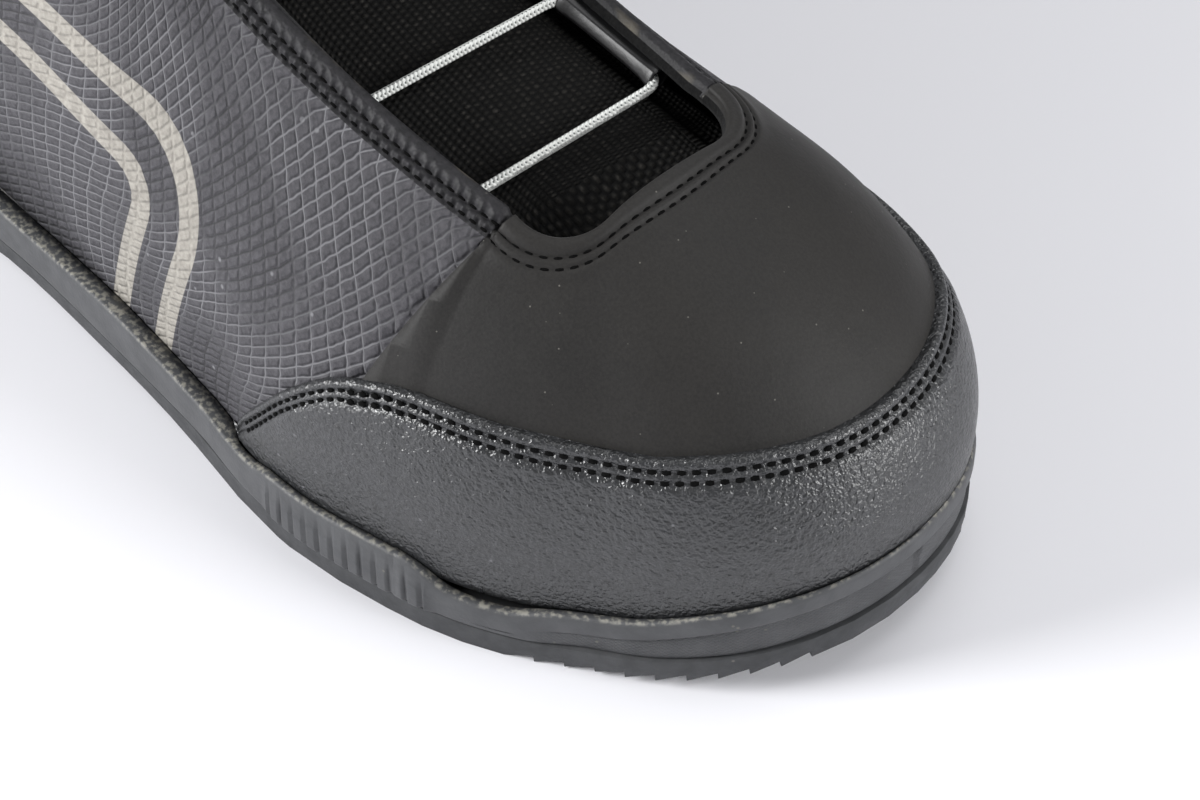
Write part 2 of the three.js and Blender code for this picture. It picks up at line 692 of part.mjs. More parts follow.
// Insole: a plate inside the upper's lower opening
function insoleGeometry() {
  const shell = new Shell();
  const ring = ringOf(UPPER_STATIONS);
  const rowAt = (lift, inset) =>
    shell.row(
      ring.map(({ station, side }) => {
        const p = offsetPoint(station, 0.02, side, -WALL - GAP - inset);
        return p.setZ(cupFloor(surfacePoint(station, 0, side).x) + lift);
      }),
    );
  const low = rowAt(GAP, INSOLE_INSET);
  const high = rowAt(GAP + INSOLE_THICKNESS, INSOLE_INSET);
  shell.band(low, high, true);
  shell.ladder(low, false);
  shell.ladder(high, true);
  return shell.geometry();
}

// Tongue: a padded strip under the throat, its wings under the upper's edges
const GUIDE_HEIGHT = 2 * GUIDE_WALL + LACE_DIAMETER + 2 * GAP;
const LACE_DEPTH = WALL + GAP + GUIDE_HEIGHT / 2;
const LACE_INSET = 2.2 + GUIDE_WIDTH / 2; // how far under the edge the guides' middle runs
const TONGUE_END = 0.965; // its last station, under the toe end of the throat

// Point on the guides' middle line under the throat's edge
const guidePoint = (station, side) =>
  offsetPoint(station, edgeRow(station, side, LACE_INSET), side, -LACE_DEPTH);

// Half a section on one side, from the wing's tip to below the lace
function tongueWing(station, side) {
  const under = (distance, depth) => offsetPoint(station, edgeRow(station, side, distance), side, -depth);
  const guide = guidePoint(station, side);
  const toMiddle = guidePoint(station, -side).sub(guide);
  const inward = Math.min(3.2, toMiddle.length() / 4);
  const below = guide.clone().addScaledVector(sectionUp(station), -TONGUE_BELOW_LACE);
  return [
    under(TONGUE_WING, WALL + 3.6),
    under(LACE_INSET + GUIDE_WIDTH / 2 + 1, WALL + GAP + GUIDE_HEIGHT + 2.6),
    under(LACE_INSET, WALL + GAP + GUIDE_HEIGHT + 3),
    below.addScaledVector(toMiddle.normalize(), inward),
  ];
}

// Upward direction of a section across the throat
const sectionUp = (station) =>
  surfaceNormal(station, 1, -1).add(surfaceNormal(station, 1, 1)).setY(0).normalize();

function tongueRow(station) {
  const lateral = tongueWing(station, -1);
  const medial = tongueWing(station, 1).reverse();
  const middle = [0.25, 0.5, 0.75].map((t) =>
    lateral[3].clone().lerp(medial[0], t).addScaledVector(sectionUp(station), TONGUE_CROWN * 4 * t * (1 - t)),
  );
  return [...lateral, ...middle, ...medial];
}

// Places of its rows along the throat, close together round the ankle
const TONGUE_ROWS = [
  0, 0.08, 0.16, 0.24, 0.32, 0.39, 0.44, 0.48, 0.515, 0.545, 0.575, 0.605, 0.635, 0.665, 0.695, 0.73, 0.77,
  0.82, 0.87, 0.92, 0.96, 1,
];

function tongueGeometry() {
  const shell = new Shell();
  const front = (height) => new THREE.Vector3(legForm(height).front, 0, height);
  const lean = front(SHAFT_HEIGHT).sub(front(SHAFT_HEIGHT * 0.85)).normalize();
  const places = [1, 0.5].map((share) => ({ station: COLLAR_END, above: TONGUE_RISE * share }));
  for (const at of TONGUE_ROWS) places.push({ station: mix(COLLAR_END, THROAT_START, at), above: 0 });
  for (let i = 1; i <= 6; i++) places.push({ station: mix(THROAT_START, TONGUE_END, i / 6), above: 0 });
  const depths = [0.25, 0.7, 0.85, 1, 1, 1, 1, 1, 0.85, 0.7, 0.25].map((share) => share * TONGUE_THICKNESS);
  const rows = places.map(({ station, above }) => {
    const top = tongueRow(station);
    const under = top.map((p, i) => p.clone().addScaledVector(sectionUp(station), -depths[i])).reverse();
    return shell.row([...top, ...under].map((p) => p.addScaledVector(lean, above)));
  });
  for (let i = 0; i + 1 < rows.length; i++) shell.band(rows[i + 1], rows[i], true);
  const cap = (row, facingBack) => {
    const n = row.length;
    for (let i = 0; i < n / 2 - 1; i++) {
      const corners = [row[i], row[i + 1], row[n - 2 - i], row[n - 1 - i]];
      shell.quad(...(facingBack ? corners : corners.reverse()));
    }
  };
  cap(rows[0], true);
  cap(rows[rows.length - 1], false);
  return shell.geometry();
}

// Outsole: a plate under the midsole. A rim along its edge reaches the floor, wider where an edge lug stands,
// and its lower edge is cut to teeth round the toe. Blocks stand inside it.
const RIM_WIDTH = 3;
const LUG_WIDTH = 9; // the rim's width at an edge lug
const EDGE_LUG_PITCH = 18;
const LUG_SPACE = 2.4;
const LUG_DRAFT = 0.6;
const SLIVER = 0.02;
const TOOTH_PITCH = 6.2;
const TOOTH_RISE = 1.7; // each tooth runs down to the floor at its heel end only
const TOOTH_START = 0.82;
const TOOTH_END = 0.925; // station at which the teeth stop; the rim is plain ahead of the toe
const ARCH_LIFT = 1.4; // the rim at the waist stays this far above the floor
const ARCH = { start: 0.3, end: 0.5 };
const EDGE_LUG_ZONES = [
  { start: 0.12, end: 0.24 },
  { start: 0.54, end: 0.68 },
];
const INNER_LUGS = [
  { along: 0.067, count: 3, width: 14, length: 14 },
  { along: 0.1242, count: 3, width: 16, length: 14 },
  { along: 0.181, count: 3, width: 16, length: 14 },
  { along: 0.58, count: 3, width: 20, length: 15 },
  { along: 0.65, count: 3, width: 23, length: 15 },
  { along: 0.72, count: 3, width: 24, length: 15 },
  { along: 0.79, count: 3, width: 22, length: 15 },
  { along: 0.86, count: 3, width: 17, length: 15 },
];

// Lengths along a line of points, from one station to another
function walk(from, to, pointOf) {
  const steps = 400;
  const stationOf = (i) => mix(from, to, i / steps);
  const lengths = [0];
  for (let i = 1; i <= steps; i++)
    lengths.push(lengths[i - 1] + pointOf(stationOf(i)).distanceTo(pointOf(stationOf(i - 1))));
  const stationAt = (length) => {
    const i = Math.max(1, lengths.findIndex((l) => l >= length - 1e-6));
    return stationOf(i - 1 + (length - lengths[i - 1]) / (lengths[i] - lengths[i - 1]));
  };
  return { length: lengths[steps], stationAt };
}

// Places along the tread's edge from heel to toe: the rim's width there and how far its lower edge is lifted
function treadEdge() {
  const outline = walk(0, 1, (station) => soleOutline(station, -1, 0, 0));
  const places = [];
  const place = (at, width, lift) => places.push({ station: outline.stationAt(at), width, lift });
  place(0, RIM_WIDTH, 0);
  let at = EDGE_LUG_PITCH / 2;
  while (at < outline.length - TOOTH_PITCH) {
    const station = outline.stationAt(at);
    const along = alongOf(soleOutline(station, -1, 0, 0).x);
    const waist = smooth(ARCH.start - 0.04, ARCH.start, along) * smooth(ARCH.end + 0.04, ARCH.end, along);
    const lift = ARCH_LIFT * waist;
    const lugged = EDGE_LUG_ZONES.some(({ start, end }) => along > start && along < end);
    if (along > TOOTH_START && station < TOOTH_END) {
      place(at, RIM_WIDTH, 0);
      place(at + TOOTH_PITCH - 0.15, RIM_WIDTH, TOOTH_RISE);
      at += TOOTH_PITCH;
    } else if (!lugged) {
      place(at, RIM_WIDTH, lift);
      at += EDGE_LUG_PITCH / 2;
    } else {
      const end = at + EDGE_LUG_PITCH - LUG_SPACE;
      place(at, RIM_WIDTH, 0);
      place(at + LUG_DRAFT, LUG_WIDTH, 0);
      place(end - LUG_DRAFT, LUG_WIDTH, 0);
      place(end, RIM_WIDTH, 0);
      at += EDGE_LUG_PITCH;
    }
  }
  places.push({ station: 1, width: RIM_WIDTH, lift: 0 });
  return places;
}

// A block of the tread, from the floor up into the plate
function treadBlock(x, y, length, width) {
  const floor = spring(x);
  const block = new THREE.BoxGeometry(length, width, LUG_HEIGHT + 1);
  block.translate(x, y, floor + (LUG_HEIGHT + 1) / 2);
  return solidOf(block);
}

function treadBlocks() {
  const blocks = [];
  for (const { along, count, width, length } of INNER_LUGS) {
    const x = along * SOLE_LENGTH - HEEL_BACK;
    const middle = x > TOE_CENTRE.x ? TOE_CENTRE.y * 2 : TOE_CENTRE.y * smooth(0, TOE_CENTRE.x, x);
    for (let i = 0; i < count; i++)
      blocks.push(treadBlock(x, middle + (i - (count - 1) / 2) * (width + LUG_SPACE), length, width));
  }
  return blocks;
}

function outsoleGeometry() {
  const shell = new Shell();
  const places = treadEdge();
  const outer = places.map((at) => ({ ...at, side: -1 }));
  const inner = places.slice(1, -1).reverse().map((at) => ({ ...at, side: 1 }));
  const rowAt = (out, lift) =>
    shell.row(
      [...outer, ...inner].map((at) => {
        const p = soleOutline(at.station, at.side, out(at), 0);
        return p.setZ(spring(soleOutline(at.station, at.side, 0, 0).x) + lift(at));
      }),
    );
  const rows = [
    rowAt((at) => -0.4 - at.width, () => LUG_HEIGHT),
    rowAt((at) => -0.4 - at.width, (at) => at.lift),
    rowAt(() => -0.4, (at) => at.lift),
    rowAt(() => -0.2, () => LUG_HEIGHT + OUTSOLE_PLATE),
  ];
  for (let i = 0; i + 1 < rows.length; i++) shell.band(rows[i], rows[i + 1], true);
  shell.ladder(rows[0], false);
  shell.ladder(rows[rows.length - 1], true);
  const whole = wasm.Manifold.union([solidOf(shell.geometry()), ...treadBlocks()]);
  return geometryOf(whole.simplify(SLIVER)); // slivers where a block's side runs along the plate's own edges
}

// Lace: bars across the throat, joined under its edges inside the guides
const BAR_FIRST = 0.968; // place of the lowest bar along the throat
const BAR_TOP = 14; // the highest bar lies this far under the collar

// Bars' stations at even spacing along the throat's outer edge
function barStations() {
  const first = mix(COLLAR_END, THROAT_START, BAR_FIRST);
  const edge = walk(COLLAR_END, first, (station) => surfacePoint(station, 1, -1));
  const pitch = (edge.length - BAR_TOP) / (LACE_BARS - 1);
  return Array.from({ length: LACE_BARS }, (_, bar) => edge.stationAt(edge.length - bar * pitch));
}

const BAR_STATIONS = barStations();

// Side on which the lace runs from one bar up to the next
const runSide = (bar) => (bar % 2 === 0 ? 1 : -1);

// Stations along a guide, which stays open for the lace's bend at both bars
const GUIDE_STEPS = 3;
function guideStations(bar) {
  const [from, to] = [BAR_STATIONS[bar], BAR_STATIONS[bar + 1]];
  const share = (i) => mix(GUIDE_END, 1 - GUIDE_END, i / GUIDE_STEPS);
  return Array.from({ length: GUIDE_STEPS + 1 }, (_, i) => mix(from, to, share(i)));
}

// A round cord along a list of points
function cord(points, diameter) {
  const shell = new Shell();
  const n = points.length;
  const tangent = (i) => points[Math.min(i + 1, n - 1)].clone().sub(points[Math.max(i - 1, 0)]).normalize();
  let across = new THREE.Vector3(0, 0, 1).cross(tangent(0)).normalize();
  const rings = points.map((p, i) => {
    const t = tangent(i);
    across = across.clone().addScaledVector(t, -across.dot(t)).normalize();
    const over = t.clone().cross(across);
    return shell.row(
      Array.from({ length: LACE_SIDES }, (_, k) => {
        const a = (2 * Math.PI * k) / LACE_SIDES;
        const q = p.clone().addScaledVector(across, (Math.cos(a) * diameter) / 2);
        return q.addScaledVector(over, (Math.sin(a) * diameter) / 2);
      }),
    );
  });
  for (let i = 0; i + 1 < n; i++) shell.band(rings[i], rings[i + 1], true);
  for (let k = 1; k + 1 < LACE_SIDES; k++) {
    shell.faces.push([rings[0][0], rings[0][k + 1], rings[0][k]]);
    shell.faces.push([rings[n - 1][0], rings[n - 1][k], rings[n - 1][k + 1]]);
  }
  return shell.geometry();
}

const GUIDE_END = 0.13; // share of the way between two bars that stays open at each end of a guide
const BEND = 2.6; // the lace's bend where a bar turns into a guide

function laceGeometry() {
  const bend = (from, at, to) => {
    const a = at.clone().addScaledVector(from.clone().sub(at).normalize(), BEND);
    const b = at.clone().addScaledVector(to.clone().sub(at).normalize(), BEND);
    return [a, a.clone().add(b).multiplyScalar(0.29).addScaledVector(at, 0.42), b];
  };
  const points = [guidePoint(BAR_STATIONS[0], -runSide(0))];
  for (let bar = 0; bar + 1 < LACE_BARS; bar++) {
    const side = runSide(bar);
    const [low, high] = [guidePoint(BAR_STATIONS[bar], side), guidePoint(BAR_STATIONS[bar + 1], side)];
    const run = guideStations(bar).map((station) => guidePoint(station, side));
    points.push(...bend(guidePoint(BAR_STATIONS[bar], -side), low, run[0]), ...run);
    points.push(...bend(run[GUIDE_STEPS], high, guidePoint(BAR_STATIONS[bar + 1], -side)));
  }
  points.push(guidePoint(BAR_STATIONS[LACE_BARS - 1], -runSide(LACE_BARS - 2)));
  return cord(points, LACE_DIAMETER);
}

// A guide: a square tube under the throat's edge between two bars, round the lace
function guideGeometry(bar) {
  const shell = new Shell();
  const side = runSide(bar);
  const stations = guideStations(bar);
  const inner = LACE_DIAMETER / 2 + GAP;
  const rings = stations.map((station) => {
    const p = guidePoint(station, side);
    const over = surfaceNormal(station, edgeRow(station, side, LACE_INSET), side);
    const ahead = guidePoint(station + 0.002, side).sub(guidePoint(station - 0.002, side)).normalize();
    const across = over.clone().cross(ahead).normalize();
    over.crossVectors(ahead, across).normalize();
    const square = (half, wide) =>
      [[-1, -1], [1, -1], [1, 1], [-1, 1]].map(([a, b]) =>
        p.clone().addScaledVector(across, a * wide).addScaledVector(over, b * half),
      );
    return { out: shell.row(square(GUIDE_HEIGHT / 2, GUIDE_WIDTH / 2)), in: shell.row(square(inner, inner)) };
  });
  for (let i = 0; i < GUIDE_STEPS; i++) {
    shell.band(rings[i + 1].out, rings[i].out, true);
    shell.band(rings[i].in, rings[i + 1].in, true);
  }
  shell.band(rings[0].out, rings[0].in, true);
  shell.band(rings[GUIDE_STEPS].in, rings[GUIDE_STEPS].out, true);
  return shell.geometry();
}

piece("upper", upperGeometry(), 0x2b2b2d, 0.85);
piece("toe_rand", randGeometry(), 0x3a3b3d, 0.5);
piece("midsole", midsoleGeometry(), 0x46474a, 0.7);
piece("outsole", outsoleGeometry(), 0x2c2d2f, 0.8);
piece("insole", insoleGeometry(), 0x1d1d1f, 0.95);
piece("tongue", tongueGeometry(), 0x171718, 0.95);
piece("lace", laceGeometry(), 0xd8d6cc, 0.9);
for (let bar = 0; bar + 1 < LACE_BARS; bar++) {
  const side = runSide(bar) < 0 ? "outer" : "inner";
  piece(`lace_guide_${side}_${Math.floor(bar / 2) + 1}`, guideGeometry(bar), 0x1b1b1c, 0.8);
}

export default boot;
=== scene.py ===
# %% [markdown]
# # A right snowboard boot
# The boot stands empty on a pale floor. Its shell is a stitched upper over a plastic rand, a moulded
# foam cup and a lugged rubber sole. Lengths are worked out in millimetres, because a bootmaker's
# patterns are, and are turned to metres when a mesh is made. X points to the toe, Y to the inner side
# and Z up.

# %% The frame and its size
import math

import bmesh
import bpy
import numpy as np
from mathutils import Matrix, Vector

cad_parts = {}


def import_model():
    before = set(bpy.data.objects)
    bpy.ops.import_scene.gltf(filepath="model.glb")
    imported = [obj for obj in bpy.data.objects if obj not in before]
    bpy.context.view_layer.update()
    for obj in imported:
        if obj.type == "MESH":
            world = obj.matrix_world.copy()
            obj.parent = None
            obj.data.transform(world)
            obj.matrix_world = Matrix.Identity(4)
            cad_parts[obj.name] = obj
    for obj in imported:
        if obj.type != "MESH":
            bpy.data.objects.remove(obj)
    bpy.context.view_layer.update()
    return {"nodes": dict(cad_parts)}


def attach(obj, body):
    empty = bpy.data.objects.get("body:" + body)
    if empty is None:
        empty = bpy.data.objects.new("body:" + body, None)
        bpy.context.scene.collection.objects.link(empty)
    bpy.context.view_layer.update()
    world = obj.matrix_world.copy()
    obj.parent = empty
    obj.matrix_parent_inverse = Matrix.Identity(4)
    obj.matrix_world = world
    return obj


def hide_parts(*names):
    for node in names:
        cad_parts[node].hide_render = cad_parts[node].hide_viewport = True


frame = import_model()
MM = 0.001

# %% [markdown]
# ## The last
# A boot is built over a last, the wooden or plastic form of a foot. Its shape is written here as a
# few tables of widths and heights along the foot and the leg, with smooth curves through them. Every
# panel, seam and stitch is then placed on this one surface by two numbers: how far round the boot,
# and how far up.

# %% Curves and sizes
SOLE_LENGTH, BALL_WIDTH, HEEL_BACK = 306.0, 119.0, 38.0
SHAFT_HEIGHT, INSTEP_HEIGHT, HEEL_FLOOR, BALL_FLOOR = 286.0, 125.0, 19.0, 11.5
TOE_SPRING, TOE_SPRING_LENGTH, HEEL_BEVEL, HEEL_BEVEL_LENGTH = 9.5, 50.0, 2.0, 14.0
LUG_HEIGHT, OUTSOLE_PLATE, GAP = 3.2, 2.6, 0.3
SOLE_LIP, RAND_THICKNESS, WALL, SHAFT_WALL = 2.4, 1.7, 3.0, 5.0
# The upper's surface lies this far inside the sole's outline.
MARGIN = SOLE_LIP + RAND_THICKNESS + 2 * GAP
# The throat's half widths at its toe end and at the collar, its reach past the toe's centre, its corners.
THROAT_HALF, THROAT_HALF_TOP, THROAT_END, THROAT_CORNER = 25.5, 31.0, 14.0, 12.0
# The sides swell over the sole's edge, and the foot's sides flow into the leg's over a strip behind the shin.
VAMP_BULGE, LEG_ROUNDNESS, BLEND_WIDTH, BLEND_START, BLEND_END = 0.05, 2.3, 7, 6, 62
# Places round the boot: the collar ends here and the throat's sides begin, and there the rounded toe begins.
COLLAR_END, THROAT_START = 0.28, 0.66
TOE_X, TOE_Y = SOLE_LENGTH * 0.752 - HEEL_BACK, BALL_WIDTH * 0.0252
TOE_MIDDLE, TOE_REACH = 12.0, SOLE_LENGTH * 0.245
print(f"sole {SOLE_LENGTH} by {BALL_WIDTH} mm, shaft {SHAFT_HEIGHT} mm")


def curve(keys, values):
    """A smooth curve through points; the slope at each comes from its two neighbours."""
    k, v = np.array(keys, float), np.array(values, float)
    low, high = np.maximum(np.arange(len(k)) - 1, 0), np.minimum(np.arange(len(k)) + 1, len(k) - 1)
    slope = (v[high] - v[low]) / (k[high] - k[low])

    def at(x):
        x = np.clip(x, k[0], k[-1])
        j = np.clip(np.searchsorted(k, x, side="right") - 1, 0, len(k) - 2)
        h = k[j + 1] - k[j]
        t = (x - k[j]) / h
        a, b = 2 * t**3 - 3 * t**2 + 1, t**3 - 2 * t**2 + t
        return a * v[j] + b * slope[j] * h + (1 - a) * v[j + 1] + (t**3 - t**2) * slope[j + 1] * h

    return at


def smooth(a, b, x):
    t = np.clip((x - a) / (b - a), 0, 1)
    return t * t * (3 - 2 * t)


def mix(a, b, t):
    return a + (b - a) * t


def along(x):
    return (x + HEEL_BACK) / SOLE_LENGTH


# %% Tables of the last
PLAN_AT = (0, 0.13, 0.22, 0.32, 0.45, 0.56, 0.62, 0.68, 0.752)
outer_half = curve(PLAN_AT, (0.366, 0.378, 0.38, 0.396, 0.43, 0.457, 0.483, 0.487, 0.457))
inner_half = curve(PLAN_AT, (0.366, 0.378, 0.37, 0.364, 0.385, 0.44, 0.475, 0.502, 0.521))
toe_reach = curve(
    range(-105, 106, 15),
    (0.79, 0.765, 0.74, 0.732, 0.752, 0.832, 0.924, 0.998, 1.034, 1.042, 1.006, 0.922, 0.84, 0.787, 0.79),
)
FOOT_AT = (0, 0.2, 0.4, 0.5, 0.57, 0.65, 0.752, 0.84, 1)
foot_ridge = curve(FOOT_AT, (0.62, 1.1, 1.22, 1.02, 0.9, 0.8, 0.73, 0.685, 0.6))
foot_shift = curve(FOOT_AT, (0, 0, 0.005, 0.01, 0.015, 0.02, 0.025, 0.025, 0.025))
foot_square = curve(FOOT_AT, (2.2, 2.2, 2.2, 2.25, 2.3, 2.4, 2.5, 2.5, 2.5))
LEG_AT = (0.03, 0.12, 0.25, 0.38, 0.55, 0.78, 1.05)
leg_back = curve(LEG_AT, (-0.113, -0.122, -0.116, -0.097, -0.074, -0.04, 0.0))
leg_widest = curve(LEG_AT, (0.035, 0.04, 0.06, 0.09, 0.14, 0.195, 0.245))
leg_front = curve(LEG_AT, (0.33, 0.345, 0.372, 0.394, 0.418, 0.452, 0.492))
leg_outer = curve(LEG_AT, (0.35, 0.362, 0.366, 0.378, 0.418, 0.458, 0.475))
leg_inner = curve(LEG_AT, (0.35, 0.36, 0.36, 0.372, 0.412, 0.452, 0.47))
THROAT_AT = (0, 0.2, 0.4, 0.58, 0.72, 0.86, 1)
ray_x = curve(THROAT_AT, (0.2, 0.2, 0.2, 0.2, 0.245, 0.41, 0.628))
ray_z = curve(THROAT_AT, (0.944, 0.82, 0.655, 0.46, 0.3, 0.14, 0.05))
ray_slope = curve(THROAT_AT, (8, 6, 5, 14, 40, 68, 90))
ray_foot = curve(THROAT_AT, (0.17, 0.205, 0.255, 0.325, 0.405, 0.51, 0.628))
ray_arrive = curve(THROAT_AT, (26, 12, 18, 45, 72, 84, 90))
ray_reach = curve(THROAT_AT, (72, 60, 50, 40, 38, 38, 38))
sole_edge = curve(
    (0, 0.12, 0.22, 0.32, 0.36, 0.45, 0.55, 0.6, 0.632, 0.642,
     0.7, 0.76, 0.775, 0.795, 0.825, 0.838, 0.855, 0.9, 0.95, 1),
    (29, 26, 19.5, 15.8, 15.8, 17.2, 15.7, 15.4, 16, 17.4,
     18, 18.3, 17.3, 13.8, 12.9, 13.4, 15, 16.4, 18.8, 19.5),
)
rand_edge = curve(
    (0.592, 0.604, 0.62, 0.645, 0.67, 0.7, 0.725, 0.755, 0.8, 0.85, 0.9, 0.95, 1),
    (13, 17.8, 25, 34, 43, 51.5, 55, 56.8, 56.4, 55.2, 55.2, 56.6, 57.2),
)
TOE_SHIFT, TOE_SQUARE = float(foot_shift(along(TOE_X))) * BALL_WIDTH, float(foot_square(along(TOE_X)))
print(f"toe's centre at {TOE_X:.1f} mm, shifted {TOE_SHIFT:.2f} mm at its top")


# %% The surface of the boot
def spring(x):
    """How far the tread leaves the floor."""
    toe = np.maximum(0, (x - (SOLE_LENGTH - HEEL_BACK - TOE_SPRING_LENGTH)) / TOE_SPRING_LENGTH)
    heel = np.maximum(0, (HEEL_BEVEL_LENGTH - HEEL_BACK - x) / HEEL_BEVEL_LENGTH)
    return TOE_SPRING * toe**2 + HEEL_BEVEL * heel**2


def cup_floor(x):
    return mix(HEEL_FLOOR, BALL_FLOOR, smooth(0.15, 0.5, along(x))) + spring(x) * smooth(0.5, 0.8, along(x))


def rise(inward, power):
    return (1 - np.minimum(1, np.abs(inward)) ** power) ** (1 / power)


def swell(up):
    return 1 + 4 * VAMP_BULGE * up * (1 - up)


def foot_side(x, z, side):
    a = along(x)
    half = np.where(side < 0, outer_half(a), inner_half(a)) * BALL_WIDTH - MARGIN
    low = cup_floor(x) + GAP
    up = np.clip((z - low) / (foot_ridge(a) * INSTEP_HEIGHT - low), 0, 1)
    return side * half * rise(up, foot_square(a)) * swell(up) + foot_shift(a) * BALL_WIDTH * up


def leg_side(x, z, side):
    h = z / SHAFT_HEIGHT
    back, widest, front = (f(h) * SOLE_LENGTH for f in (leg_back, leg_widest, leg_front))
    reach = np.where(x < widest, widest - back, front - widest)
    half = np.where(side < 0, leg_outer(h), leg_inner(h)) * BALL_WIDTH
    return side * half * rise((x - widest) / reach, LEG_ROUNDNESS)


def surface_side(x, z, side):
    """Side position of the surface at a point of the side view: the foot flows into the leg."""
    leg = leg_side(x, z, side)
    more = side * (foot_side(x, z, side) - leg)
    start = leg_back(z / SHAFT_HEIGHT) * SOLE_LENGTH
    fades_in = smooth(start + BLEND_START, start + BLEND_END, x)
    return leg + side * (more + np.hypot(more, BLEND_WIDTH)) / 2 * fades_in


def halve(low, high, is_low, steps=36):
    """Halves the space between low and high until it closes on the place where is_low turns false."""
    for _ in range(steps):
        half = (low + high) / 2
        below = is_low(half)
        low, high = np.where(below, half, low), np.where(below, high, half)
    return low


def toe_point(turn, angle):
    turn = turn + 0 * angle
    reach = toe_reach(turn) * TOE_REACH - MARGIN
    up = np.sin(angle) ** (2 / TOE_SQUARE)
    inward = np.cos(angle) ** (2 / TOE_SQUARE) * swell(up)
    cos, sin = np.cos(np.radians(turn)), np.sin(np.radians(turn))
    x = TOE_X + reach * inward * cos
    low = cup_floor(TOE_X + reach * cos) + GAP
    z = low + (foot_ridge(along(x)) * INSTEP_HEIGHT - low) * up
    return x, TOE_Y + reach * inward * sin + TOE_SHIFT * up, z


def throat_end_angle(turn):
    """Angle up the toe's section at which it meets the throat's rounded end."""

    def outside(angle):
        x, y, _ = toe_point(turn, angle)
        dx = np.maximum(0, x - TOE_X) - (THROAT_END - THROAT_CORNER)
        dy = np.abs(y - TOE_SHIFT - TOE_Y) - (THROAT_HALF - THROAT_CORNER)
        inside = np.minimum(np.maximum(dx, dy), 0)
        return np.hypot(np.maximum(dx, 0), np.maximum(dy, 0)) + inside - THROAT_CORNER > 0

    return halve(np.full_like(turn, 0.05), np.full_like(turn, math.pi / 2), outside)


def throat_edge(at, side):
    """Where a ray up the side view is as wide as the throat: the place and height of its edge."""
    x0, z0, slope = ray_x(at) * SOLE_LENGTH, ray_z(at) * SHAFT_HEIGHT, np.radians(ray_slope(at))
    wanted = mix(THROAT_HALF_TOP, THROAT_HALF, at**6)
    centre = TOE_SHIFT * smooth(0.35, 1, at) + TOE_Y * at

    def wide(s):
        x, z = x0 + s * np.cos(slope), z0 + s * np.sin(slope)
        return side * (surface_side(x, z, side) - centre) > wanted

    s = halve(np.zeros_like(at), np.full_like(at, SHAFT_HEIGHT), wide)
    return x0 + s * np.cos(slope), z0 + s * np.sin(slope)


meridians = {}


def meridian(t):
    """All that is the same along one line from sole to edge, for each of the given places round the boot."""
    key = t.tobytes()
    if key not in meridians:
        station, side = np.abs(t), np.where(t < 0, -1.0, 1.0)
        share = np.clip((station - THROAT_START) / (1 - THROAT_START), 0, 1)
        turn = mix(side * 90, TOE_MIDDLE, share)
        at = np.clip((station - COLLAR_END) / (THROAT_START - COLLAR_END), 0, 1)
        edge_x, edge_z = throat_edge(at, side)
        foot_x = mix(ray_foot(at) * SOLE_LENGTH, TOE_X, smooth(0.97, 1, at))
        foot_z = cup_floor(foot_x) + GAP
        arrive = np.radians(ray_arrive(at))
        bend_x, bend_z = edge_x - ray_reach(at) * np.cos(arrive), edge_z - ray_reach(at) * np.sin(arrive)
        flat = smooth(0.7, 1, at)
        bend_x, bend_z = mix(bend_x, (foot_x + edge_x) / 2, flat), mix(bend_z, (foot_z + edge_z) / 2, flat)
        sections = station, side, turn, throat_end_angle(turn)
        meridians[key] = (*sections, foot_x, foot_z, bend_x, bend_z, edge_x, edge_z)
    return meridians[key]


def surface(t, up):
    """Points of the outer surface. t is 0 at the heel's back and runs to -1 and 1 at the toe, over the
    outer and the inner side; up is 0 at the sole and 1 at the edge of throat or collar."""
    t, up = np.broadcast_arrays(((np.asarray(t, float) + 1) % 2) - 1, np.asarray(up, float))
    shape, up = t.shape, np.clip(up.ravel(), 0, 1)
    places, index = np.unique(t.ravel(), return_inverse=True)
    station, side, turn, end, fx, fz, bx, bz, ex, ez = (a[index] for a in meridian(places))
    tx, ty, tz = toe_point(turn, end * up)
    share = (np.sin(end * up) / np.sin(end)) ** (2 / TOE_SQUARE)
    x = fx * (1 - share) ** 2 + 2 * bx * share * (1 - share) + ex * share**2
    z = fz * (1 - share) ** 2 + 2 * bz * share * (1 - share) + ez * share**2
    ahead = 1 - np.cos(math.pi / 2 * np.clip(station / COLLAR_END, 0, 1))
    top = mix(SHAFT_HEIGHT, ez, smooth(0, 1, ahead))
    floor = cup_floor(mix(leg_back(HEEL_FLOOR / SHAFT_HEIGHT) * SOLE_LENGTH, fx, ahead)) + GAP
    back_z = mix(mix(floor, top, share), z + (floor - fz) * (1 - share) + (top - ez) * share, ahead)
    back = station < COLLAR_END
    z = np.where(back, back_z, z)
    x = np.where(back, mix(leg_back(z / SHAFT_HEIGHT) * SOLE_LENGTH, x, ahead), x)
    y = surface_side(x, z, side)
    toe = station > THROAT_START
    return np.stack([np.where(toe, tx, x), np.where(toe, ty, y), np.where(toe, tz, z)], -1).reshape(*shape, 3)


def normal(t, up, step=0.004):
    t, up = np.broadcast_arrays(np.asarray(t, float), np.asarray(up, float))
    low, high = np.maximum(up - step, 0.001), np.minimum(np.maximum(up + step, 0.006), 1)
    round_, over = surface(t + step, up) - surface(t - step, up), surface(t, high) - surface(t, low)
    n = np.cross(over, round_)
    return n / np.linalg.norm(n, axis=-1, keepdims=True)


def offset(t, up, out):
    return surface(t, up) + normal(t, up) * np.broadcast_to(out, np.broadcast(t, up).shape)[..., None]


